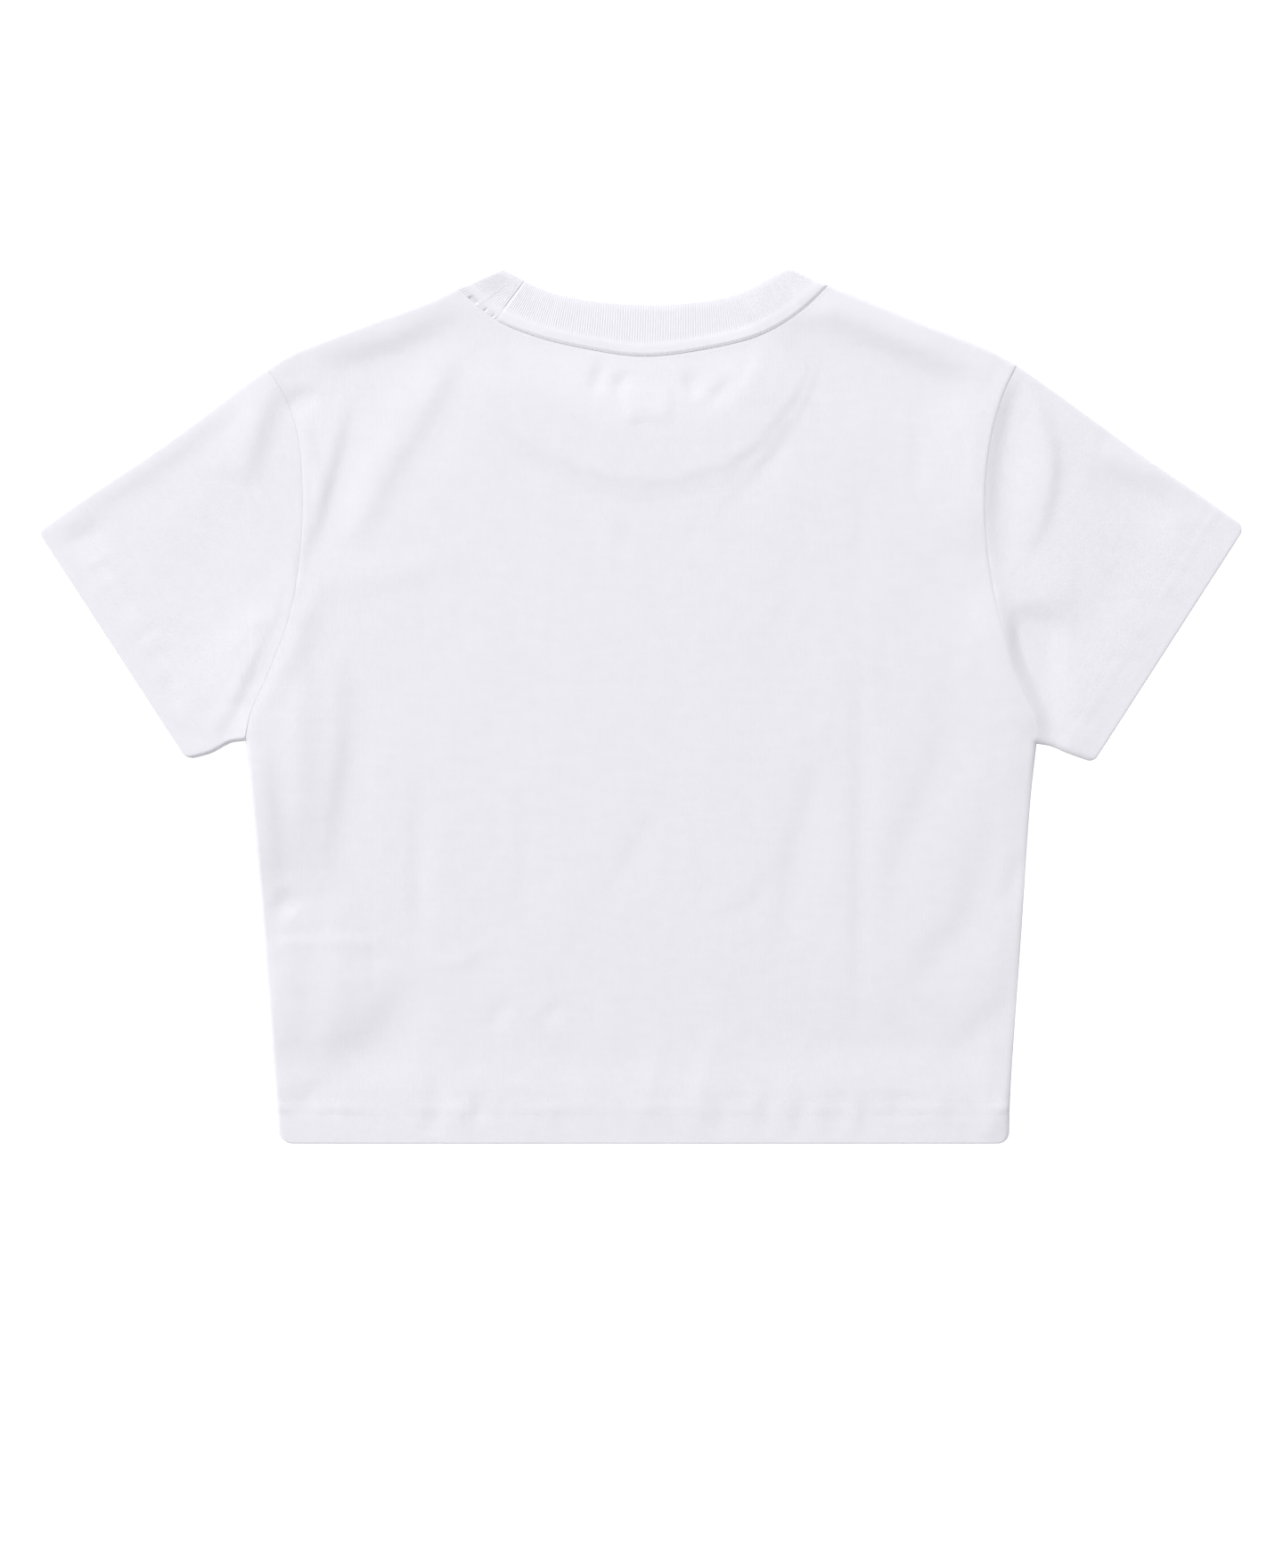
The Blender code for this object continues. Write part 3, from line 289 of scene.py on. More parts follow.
def smooth_points(spots: Spots, steps: int) -> np.ndarray:
    """Points on a smooth curve through spots in millimetres, which bends no further than they do.

    Args:
        spots: The points to pass through.
        steps: The number of points for each stretch between two spots.

    Returns:
        The curve's points in metres, one in each row.
    """
    knots = np.array(spots, float) * MM
    spans = np.sqrt(np.linalg.norm(np.diff(knots, axis=0), axis=1))[:, None]
    slopes = np.diff(knots, axis=0) / spans
    inner = (slopes[:-1] * spans[1:] + slopes[1:] * spans[:-1]) / (spans[:-1] + spans[1:])
    tangents = np.vstack([slopes[:1], inner, slopes[-1:]])
    t = np.linspace(0.0, 1.0, steps, endpoint=False)[None, :, None]
    leave = tangents[:-1, None] * spans[:, None]
    arrive = tangents[1:, None] * spans[:, None]
    points = (
        knots[:-1, None] * (2 * t**3 - 3 * t**2 + 1) + knots[1:, None] * (3 * t**2 - 2 * t**3)
        + leave * (t**3 - 2 * t**2 + t) + arrive * (t**3 - t**2)
    )
    return np.vstack([points.reshape(-1, 2), knots[-1:]])


class Nearest(NamedTuple):
    """Where plan points stand against a path."""

    distance: np.ndarray
    way: np.ndarray
    side: np.ndarray
    mark: np.ndarray


class Path:
    """A line of plan points in metres that is read by the distance along it."""

    def __init__(self, points: np.ndarray) -> None:
        """Keeps the points and measures the line."""
        self.points = np.array(points, float)
        lengths = np.linalg.norm(np.diff(self.points, axis=0), axis=1)
        self.marks = np.concatenate([[0.0], np.cumsum(lengths)])
        self.length = float(self.marks[-1])

    @classmethod
    def through(cls, spots: Spots, steps: int = 12) -> "Path":
        """A smooth path through spots in millimetres."""
        return cls(smooth_points(spots, steps))

    def at(self, distances: np.ndarray) -> np.ndarray:
        """The points at these distances from the path's start."""
        return np.column_stack([
            np.interp(distances, self.marks, self.points[:, k]) for k in (0, 1)
        ])

    def reversed(self) -> "Path":
        """The same path, run the other way."""
        return Path(self.points[::-1])

    def moved_left(self, amount: float | np.ndarray) -> "Path":
        """The path moved towards its left-hand side, by one amount or by one for each point."""
        ahead = np.gradient(self.points, axis=0)
        ahead /= np.linalg.norm(ahead, axis=1)[:, None]
        left = np.column_stack([-ahead[:, 1], ahead[:, 0]])
        return Path(self.points + left * np.broadcast_to(amount, len(left))[:, None])

    def nearest(self, plan: np.ndarray) -> Nearest:
        """Finds the place on the path that is nearest to each plan point.

        Args:
            plan: Plan points in metres.

        Returns:
            Their distances, the way to them, their sides (1 on the left) and the marks there.
        """
        best = np.full(len(plan), np.inf)
        way = np.zeros((len(plan), 2))
        side = np.zeros(len(plan))
        mark = np.zeros(len(plan))
        for k, start in enumerate(self.points[:-1]):
            run = self.points[k + 1] - start
            offset = plan - start
            share = np.clip(offset @ run / (run @ run), 0.0, 1.0)
            gap = offset - share[:, None] * run
            distance = np.hypot(gap[:, 0], gap[:, 1])
            closer = distance < best
            best[closer] = distance[closer]
            way[closer] = gap[closer]
            side[closer] = np.sign(run[0] * offset[closer, 1] - run[1] * offset[closer, 0])
            mark[closer] = self.marks[k] + share[closer] * (self.marks[k + 1] - self.marks[k])
        return Nearest(best, way, side, mark)


def joined(*paths: Path) -> Path:
    """One path from several that run on from each other."""
    return Path(np.vstack([paths[0].points] + [path.points[1:] for path in paths[1:]]))


def blend(values: np.ndarray, start: float, end: float) -> np.ndarray:
    """0 up to start, 1 from end, and an S-curve between them."""
    t = np.clip((values - start) / (end - start), 0.0, 1.0)
    return t * t * (3 - 2 * t)


def bump(values: np.ndarray, centre: float, width: float) -> np.ndarray:
    """A soft bump of height 1 at the centre."""
    return np.exp(-(((values - centre) / width) ** 2))


class Plan:
    """The shirt's seams and folds in plan, as paths."""

    def __init__(self) -> None:
        """Draws every path once."""
        left, right = Side.LEFT, Side.RIGHT
        self.sides = self.pair(Side, SIDE_LEFT, SIDE_RIGHT)
        self.armholes = self.pair(Side, ARMHOLE_LEFT, ARMHOLE_RIGHT)
        self.under = self.pair(Side, UNDER_FOLD_LEFT, UNDER_FOLD_RIGHT)
        self.top = self.pair(Side, TOP_FOLD_LEFT, TOP_FOLD_RIGHT)
        self.shoulders = self.pair(Side, SHOULDER_FOLD_LEFT, SHOULDER_FOLD_RIGHT)
        self.cuffs = {
            left: Path(np.array([CUFF_LOW_LEFT, CUFF_HIGH_LEFT]) * MM),
            right: Path(np.array([CUFF_LOW_RIGHT, CUFF_HIGH_RIGHT]) * MM),
        }
        self.turns = {
            left: Path(np.array([NECK_END_LEFT, PEAK_LEFT]) * MM),
            right: Path(np.array([NECK_END_RIGHT, PEAK_RIGHT]) * MM),
        }
        self.neck_seams = self.pair(Layer, NECK_SEAM_BACK, NECK_SEAM_FRONT)
        self.neck_edges = self.pair(Layer, NECK_EDGE_BACK, NECK_EDGE_FRONT)
        self.front_armholes = {side: self.scooped(side) for side in Side}
        # Folded edges run anticlockwise, so that the cloth is on their left
        self.folds = (
            joined(self.sides[right], self.under[right]),
            joined(self.top[right].reversed(), self.shoulders[right], self.turns[right]),
            joined(self.turns[left].reversed(), self.shoulders[left].reversed(), self.top[left]),
            joined(self.under[left].reversed(), self.sides[left].reversed()),
        )

    def pair(self, keys: type[Enum], *lines: Spots) -> dict[Enum, Path]:
        """A smooth path for each key, the left or upper one first."""
        return {key: Path.through(spots) for key, spots in zip(keys, lines)}

    def scooped(self, side: Side) -> Path:
        """The front panel's armhole, scooped towards the middle of the shirt."""
        back = self.armholes[side]
        scoop = FRONT_SCOOP * MM * np.sin(math.pi * back.marks / back.length)
        return back.moved_left(side.turn * scoop)


# ---------------- how the cloth lies


@dataclass(frozen=True)
class Grain:
    """Smooth unevenness of cloth, the same each time: a lattice of heights, blended softly."""

    across: float
    along: float
    seed: int
    size: int = 64  # of the lattice, which repeats past it
    start: float = -1.0  # where it starts, both ways

    def at(self, plan: np.ndarray) -> np.ndarray:
        """Heights from -1 to 1 at plan points in metres."""
        size = self.size
        table = np.random.default_rng(self.seed).uniform(-1.0, 1.0, (size, size))
        x = (plan[:, 0] - self.start) / self.across
        y = (plan[:, 1] - self.start) / self.along
        column, row = np.floor(x).astype(int), np.floor(y).astype(int)
        u, v = x - column, y - row
        u, v = u * u * (3 - 2 * u), v * v * (3 - 2 * v)
        value = [table[(row + j) % size, (column + i) % size] for j in (0, 1) for i in (0, 1)]
        low = value[0] * (1 - u) + value[1] * u
        high = value[2] * (1 - u) + value[3] * u
        return low * (1 - v) + high * v

    def crests(self, plan: np.ndarray, height: float) -> np.ndarray:
        """Low swells of this height, flat between them."""
        return np.maximum(self.at(plan), 0.0) * height


@dataclass(frozen=True)
class LabelPrint:
    """The faint print of a label inside: a raised patch, and where each side's slope runs."""

    height: float
    left: tuple[float, float]
    right: tuple[float, float]
    low: tuple[float, float]
    high: tuple[float, float]

    def at(self, plan: np.ndarray) -> np.ndarray:
        """The patch's height at plan points."""
        across, up = plan[:, 0], plan[:, 1]
        return self.height * (
            blend(across, *self.left) * (1 - blend(across, *self.right))
            * blend(up, *self.low) * (1 - blend(up, *self.high))
        )


LABEL_PRINTS = (
    # the care label at the side seam, its sewn upper edge, and the size label below the neck
    LabelPrint(0.00018, (-0.2060, -0.2020), (-0.1545, -0.1520), (0.0850, 0.0880), (0.1145, 0.1170)),
    LabelPrint(0.00022, (-0.2080, -0.2040), (-0.1480, -0.1450), (0.1030, 0.1150), (0.1150, 0.1172)),
    LabelPrint(0.00040, (-0.0110, -0.0085), (0.0150, 0.0175), (0.4040, 0.4056), (0.4120, 0.4300)),
)


@dataclass(frozen=True)
class HemRelief:
    """The relief of a hem's twin rows of stitches, in metres from the hem's edge."""

    row_low: float = 0.0170
    row_high: float = 0.0240
    row_width: float = 0.0026
    row_depth: float = 0.00020
    low_share: float = 0.5  # of that depth, along the lower row
    outside: float = 0.0006  # how far outside the rows their hollows lie
    pitch: float = 0.0029  # of the stitches
    dimple: float = 0.35  # the share of the depth that comes and goes with them
    dimple_width: float = 0.0011
    tunnel: float = 0.00026  # the swell between the rows
    tunnel_at: float = 0.0200
    tunnel_width: float = 0.0028
    pucker: float = 0.00022
    pucker_width: float = 0.0085
    fine_share: float = 0.6  # of the puckers' height, in the fine ones
    fine_puckers: Grain = Grain(0.0045, 1.0, 12)
    wide_puckers: Grain = Grain(0.0115, 1.0, 13)
    uneven: float = 0.9  # how unevenly the rows are pulled in
    pull: Grain = Grain(0.017, 1.0, 14)
    body_strength: float = 0.6
    cuff_strength: float = 0.2

    def at(
        self, distance: np.ndarray, along: np.ndarray, shift: float, strength: float,
    ) -> np.ndarray:
        """The heights that the sewing adds.

        Args:
            distance: Distances from the hem's edge.
            along: Distances along the hem.
            shift: How much farther in the rows are than the body's.
            strength: How strong the rows are.

        Returns:
            The heights.
        """
        low, high = self.row_low + shift, self.row_high + shift
        stitched = 1.0 + np.cos(2 * math.pi * along / self.pitch)
        rows = (
            self.low_share * bump(distance, low - self.outside, self.row_width)
            + bump(distance, high + self.outside, self.row_width)
        )
        rows = rows + self.dimple * bump(distance, low, self.dimple_width) * stitched
        tunnel = bump(distance, self.tunnel_at + shift, self.tunnel_width)
        rows = -self.row_depth * rows + self.tunnel * tunnel
        places = np.column_stack([along, np.zeros(len(along))])
        pucker = self.fine_share * self.fine_puckers.at(places) + self.wide_puckers.at(places)
        band = bump(distance, (low + high) / 2, self.pucker_width)
        pulled = strength * (1.0 + self.uneven * self.pull.at(places))
        return pulled * rows + self.pucker * pucker * band


@dataclass(frozen=True)
class NecklinePrint:
    """How the front's neckband, which lies below, shows through the back."""

    height: float = 0.0009  # how far the band pushes up the back
    sag: float = 0.0018  # how high the back stays inside the band
    # the rise comes in two steps: each one's share, and where it runs, inside the seam
    steps: Table = ((0.64, -0.0050, 0.0006), (0.36, -0.0108, -0.0066))
    drift: float = 0.0050  # how far they leave the seam, up on the right
    drift_across: tuple[float, float] = (0.0, 0.0500)
    drift_up: tuple[float, float] = (0.3850, 0.4020)
    fade_up: tuple[float, float] = (0.4160, 0.4500)
    past_band: tuple[float, float] = (0.0015, 0.0240)  # where the back comes down again
    pucker: float = 0.16
    puckers: Grain = Grain(0.0060, 0.0040, 33)
    pucker_stretch: float = 0.3  # how long they are across the seam
    pucker_at: float = -0.005
    pucker_width: float = 0.0065
    pucker_across: tuple[float, float] = (0.010, 0.060)

    def over(
        self, base: np.ndarray, plan: np.ndarray, seam: Path, cloth: float, band_width: float,
    ) -> np.ndarray:
        """Adds the print to the height of what the back lies on.

        Args:
            base: The height without it.
            plan: Plan points in metres.
            seam: The front neckband's seam.
            cloth: The thickness of the front.
            band_width: The neckband's width.

        Returns:
            The height with it.
        """
        across, up = plan[:, 0], plan[:, 1]
        near = seam.nearest(plan)
        inside = near.distance * near.side
        inside = inside - self.drift * blend(across, *self.drift_across) * blend(up, *self.drift_up)
        raised = sum(share * blend(inside, start, end) for share, start, end in self.steps)
        raised = raised * (1.0 - blend(up, *self.fade_up))
        places = np.column_stack([near.mark, inside * self.pucker_stretch])
        raised = raised + (
            self.pucker * self.puckers.at(places) * bump(inside, self.pucker_at, self.pucker_width)
            * blend(across, *self.pucker_across)
        )
        past = blend(inside, *(band_width + each for each in self.past_band))
        sunk = cloth + self.height - self.sag
        return base + raised * self.height - past * sunk


@dataclass(frozen=True)
class ArmholeSeam:
    """How an armhole's seam draws the cloth: its line, its turned edges, and the right one's step.

    Its tables give values by the share of the way from the underarm.
    """

    groove_depth: float = 0.00012  # the fine line of the seam
    groove_width: float = 0.0007
    lines: dict[Side, Table] = field(default_factory=lambda: {  # how plain that line is
        Side.LEFT: ((0.0, 0.3, 0.42, 0.72, 0.82, 1.0), (0.0, 0.1, 1.0, 1.0, 0.1, 0.1)),
        Side.RIGHT: ((0.0, 0.3, 0.4, 1.0), (0.8, 0.8, 2.2, 2.2)),
    })
    allowance_rise: float = 0.00012  # over the left seam's turned edges, inside the body
    allowance_at: float = 0.0026
    allowance_width: float = 0.0015
    rises: Table = (  # how high the cloth rises to the right seam
        (0.0, 0.08, 0.30, 0.42, 0.50, 0.62, 0.88, 1.0),
        (0.0022, 0.0042, 0.0042, 0.0008, 0.0006, 0.0034, 0.0034, 0.0010),
    )
    body_share: float = 0.54  # of that rise, inside the body
    body_reach: float = 0.0230
    fall_start: float = -0.0055  # where the sleeve's fall from it starts and ends
    fall_ends: Table = ((0.0, 0.3, 0.5, 1.0), (0.0125, 0.0125, 0.0095, 0.0095))
    ledge: float = 0.00065  # how far the sleeve drops below the body's edge
    ledge_width: float = 0.0130
    ledge_shares: Table = ((0.0, 0.3, 0.4, 0.52, 0.62, 1.0), (1.0, 1.0, 0.45, 0.4, 1.0, 1.0))

    def drawn(
        self, plan: np.ndarray, loft: np.ndarray, armhole: Path, side: Side, in_body: bool,
    ) -> np.ndarray:
        """Draws the seam into the cloth.

        Args:
            plan: Plan points in metres.
            loft: How far the cloth stands off there.
            armhole: The armhole's path, from the underarm.
            side: Its side.
            in_body: Whether the cloth is the body's, and not the sleeve's.

        Returns:
            The loft with the seam in it.
        """
        distance, _, _, mark = armhole.nearest(plan)
        share = mark / armhole.length
        line = np.interp(share, *self.lines[side])
        loft = loft - self.groove_depth * line * bump(distance, 0.0, self.groove_width)
        if side is Side.LEFT:
            if not in_body:
                return loft
            turned = bump(distance, self.allowance_at, self.allowance_width)
            return loft + self.allowance_rise * line * turned
        rise = np.interp(share, *self.rises)
        if in_body:
            return loft + self.body_share * rise * bump(distance, 0.0, self.body_reach)
        fall_end = np.interp(share, *self.fall_ends)
        fallen = blend((distance - self.fall_start) / (fall_end - self.fall_start), 0.0, 1.0)
        ledge = self.ledge * np.interp(share, *self.ledge_shares)
        return loft + rise * (1.0 - fallen) - ledge * bump(distance, 0.0, self.ledge_width)


@dataclass(frozen=True)
class Drape:
    """How the cloth lies: what is under it, its loft, its creases and its rolled edges."""

    plan: Plan
    sewing: HemRelief = HemRelief()
    neckline: NecklinePrint = NecklinePrint()
    seam: ArmholeSeam = ArmholeSeam()
    cloth: float = 0.0011  # the solid's walls
    hem: float = 0.0016
    rib: float = 0.0017
    hem_depth: float = 0.0240
    cuff_depth: float = 0.0220
    hem_lead: float = 0.0030  # the cloth is at its hem's height this far inside it
    hem_ease: float = 0.0280  # over which it rises to its hem
    turn_ease: float = 0.0012  # over which the shell doubles, to each side of the turned edge
    band_width: float = 0.0280
    seam_gap: float = 0.0003  # between the solids
    visible_gap: float = 0.00003  # between the shells
    layer_gap: float = 0.0004
    roll_reach: float = 0.0040  # the widest roll of a folded edge, which the meshes are spaced by
    # how wide each folded edge rolls: right side, right shoulder, left shoulder, left side
    fold_reaches: tuple[float, ...] = (0.0040, 0.0026, 0.0024, 0.0021)
    roll_height: float = 0.0022
    loft: float = 0.0013
    loft_from_fold: tuple[float, float] = (0.0035, 0.0140)  # where the loft grows to this
    edge_loft: float = 0.0007  # beside the folded edges on the right
    left_edge_loft: float = 0.0012  # and on the left
    edge_loft_across: tuple[float, float] = (-0.100, -0.040)  # where one changes to the other
    edge_puff: float = 0.0002
    puff_at: float = 0.0045
    puff_width: float = 0.0050
    neck_loft: float = 0.0014  # how high the cloth stands off at the neckband's seam
    neck_reach: float = 0.0045
    settle: float = 0.0005  # how softly the loft ends where it would sink below nothing
    crease_steps: int = 6  # of each crease's route, from spot to spot
    crease_reach: float = 3.0  # how many widths away a crease is still felt
    crease_taper: float = 0.7  # the power that keeps a crease full towards its ends
    crease_end: float = 0.15  # the least share of its height that it has there
    # the slight unevenness of cloth that lies free, longer along the wales than across them
    ripples: tuple[tuple[float, Grain], ...] = (
        (0.00016, Grain(0.026, 0.060, 3)),
        (0.00006, Grain(0.0120, 0.024, 5)),
        (0.000025, Grain(0.0075, 0.0045, 8)),
    )

    def side_of(self, zone: Zone) -> Side:
        """The side that a sleeve is on."""
        return Side.LEFT if zone is Zone.LEFT_SLEEVE else Side.RIGHT

    def roll(self, plan: np.ndarray) -> tuple[np.ndarray, np.ndarray, np.ndarray]:
        """Finds how far up its rolled edge the cloth is.

        Args:
            plan: Plan points in metres.

        Returns:
            The rise from 0 to 1, the direction that the edge faces, and the distance to the fold.
        """
        found = [edge.nearest(plan) for edge in self.plan.folds]
        distance = np.min([each.distance for each in found], axis=0)
        facing = np.zeros((len(plan), 2))
        reach = np.zeros(len(plan))
        for edge, near, fold_reach in zip(self.plan.folds, found, self.fold_reaches):
            here = near.distance <= distance
            reach[here] = fold_reach
            ahead = edge.at(near.mark[here] + NUDGE) - edge.at(near.mark[here] - NUDGE)
            outward = np.column_stack([ahead[:, 1], -ahead[:, 0]])
            facing[here] = np.where(near.distance[here, None] > ON_FOLD, -near.way[here], outward)
        facing /= np.maximum(np.linalg.norm(facing, axis=1), TINY)[:, None]
        cosine = 1.0 - np.clip(distance / reach, 0.0, 1.0)
        return np.sqrt(1.0 - cosine**2), cosine[:, None] * facing, distance

    def crease_heights(self, plan: np.ndarray) -> np.ndarray:
        """The height that the creases add at each plan point."""
        height = np.zeros(len(plan))
        for crease in CREASES:
            route = Path.through(crease.route, self.crease_steps)
            reach = self.crease_reach * max(crease.left, crease.right) * MM
            low, high = route.points.min(axis=0) - reach, route.points.max(axis=0) + reach
            here = np.flatnonzero(((plan > low) & (plan < high)).all(axis=1))
            near = route.nearest(plan[here])
            width = np.where(near.side > 0, crease.left, crease.right) * MM
            share = np.clip(near.mark / route.length, 0.0, 1.0)
            full = np.maximum(np.sin(math.pi * share) ** self.crease_taper, self.crease_end)
            height[here] += crease.height * MM * full * np.exp(-((near.distance / width) ** 2))
        return height

    def from_hem(self, plan: np.ndarray, zone: Zone) -> tuple[np.ndarray, float]:
        """Each point's distance from the hem or cuff below it, and that hem's depth."""
        if zone is Zone.BODY:
            return plan[:, 1], self.hem_depth
        return self.plan.cuffs[self.side_of(zone)].nearest(plan).distance, self.cuff_depth

    def hem_rise(self, plan: np.ndarray, zone: Zone) -> np.ndarray:
        """1 over the hem, easing to 0 above it."""
        distance, depth = self.from_hem(plan, zone)
        return 1.0 - blend(distance, depth - self.hem_lead, depth + self.hem_ease)

    def solid_wall(self, plan: np.ndarray, zone: Zone) -> np.ndarray:
        """The thickness of one layer of the solid's cloth."""
        return self.cloth + (self.hem - self.cloth) * self.hem_rise(plan, zone)

    def hem_sewing(self, plan: np.ndarray, zone: Zone, along: np.ndarray) -> np.ndarray:
        """The relief of a hem's stitches, at plan points that are this far along it."""
        distance, depth = self.from_hem(plan, zone)
        in_body = zone is Zone.BODY
        strength = self.sewing.body_strength if in_body else self.sewing.cuff_strength
        return self.sewing.at(distance, along, depth - self.hem_depth, strength)

    def support(self, plan: np.ndarray, zone: Zone) -> np.ndarray:
        """The height of what the upper layer lies on."""
        base = self.solid_wall(plan, zone)
        if zone is not Zone.BODY:
            return base
        seam = self.plan.neck_seams[Layer.LOWER]
        return self.neckline.over(base, plan, seam, self.cloth, self.band_width)

    def free_loft(self, plan: np.ndarray, from_fold: np.ndarray) -> np.ndarray:
        """How far the upper layer stands off what it lies on."""
        puff = self.edge_puff * bump(from_fold, self.puff_at, self.puff_width)
        to_right = blend(plan[:, 0], *self.edge_loft_across)
        beside = self.left_edge_loft + (self.edge_loft - self.left_edge_loft) * to_right
        loft = beside + (self.loft - beside) * blend(from_fold, *self.loft_from_fold)
        ripple = sum(height * grain.at(plan) for height, grain in self.ripples)
        return loft + puff + self.crease_heights(plan) + ripple

    def top(
        self, plan: np.ndarray, zone: Zone, wall: float | None, from_fold: np.ndarray,
    ) -> np.ndarray:
        """The height of the upper layer's outer face, where it isn't rolled over.

        Args:
            plan: Plan points in metres.
            zone: The layer that they are in.
            wall: The thickness of the cloth, or None for the body's own.
            from_fold: The points' distances to the nearest folded edge.

        Returns:
            The heights above the surface.
        """
        loft = self.free_loft(plan, from_fold)
        armholes = self.plan.armholes
        if zone is Zone.BODY:
            for side in Side:
                loft = self.seam.drawn(plan, loft, armholes[side], side, True)
            to_neck = self.plan.neck_seams[Layer.UPPER].nearest(plan).distance
            labels = sum(label.at(plan) for label in LABEL_PRINTS)
            loft = loft + (self.neck_loft - loft) * bump(to_neck, 0.0, self.neck_reach) + labels
            along = plan[:, 0]
        else:
            side = self.side_of(zone)
            loft = self.seam.drawn(plan, loft, armholes[side], side, False)
            along = self.plan.cuffs[side].nearest(plan).mark
        settled = 0.5 * (loft + np.sqrt(loft**2 + self.settle**2))
        if wall is None:
            wall = self.solid_wall(plan, zone)
            settled = settled + self.hem_sewing(plan, zone, along)
        return self.support(plan, zone) + self.layer_gap + wall + settled

    def shell_wall(
        self, plan: np.ndarray, zone: Zone, single: float, doubled: float,
    ) -> np.ndarray:
        """The thickness of the visible cloth, doubled where it is turned in."""
        distance, depth = self.from_hem(plan, zone)
        above = blend(distance, depth - self.turn_ease, depth + self.turn_ease)
        return single + (doubled - single) * (1.0 - above)

    def upper(
        self, plan: np.ndarray, zone: Zone, wall: np.ndarray, edge_wall: np.ndarray, middle: float,
        extra: np.ndarray | float = 0.0, solid_wall: float | None = None,
    ) -> tuple[np.ndarray, np.ndarray]:
        """Outer and inner points of a layer that lies on another.

        Args:
            plan: Plan points in metres.
            zone: The layer that they are in.
            wall: The thickness of the visible cloth.
            edge_wall: Its thickness where it rolls over.
            middle: The height of its folded edge.
            extra: Relief to add to the outer face.
            solid_wall: The thickness of the solid, where it isn't the body cloth's.

        Returns:
            The outer and the inner points.
        """
        rise, lean, from_fold = self.roll(plan)
        top = self.top(plan, zone, solid_wall, from_fold)
        outer = np.column_stack([plan, middle + (top + extra - middle) * rise])
        inner_rise = middle + (top - wall - middle) * rise
        return outer, np.column_stack([plan - np.reshape(edge_wall, (-1, 1)) * lean, inner_rise])

    def lower(
        self, plan: np.ndarray, wall: np.ndarray, edge_wall: np.ndarray, middle: float,
        relief: np.ndarray | float = 0.0,
    ) -> tuple[np.ndarray, np.ndarray]:
        """Outer and inner points of a layer that lies on the surface and rolls up at its edges.

        Args:
            plan: Plan points in metres.
            wall: The thickness of the visible cloth.
            edge_wall: Its thickness where it rolls over.
            middle: The height of its folded edge.
            relief: How far its face is pressed up off the surface.

        Returns:
            The outer and the inner points.
        """
        rise, lean, _ = self.roll(plan)
        outer = np.column_stack([plan, middle * (1.0 - rise) + relief * rise])
        inner_rise = middle + (relief + wall - middle) * rise
        return outer, np.column_stack([plan - np.reshape(edge_wall, (-1, 1)) * lean, inner_rise])


# ---------------- plan grids


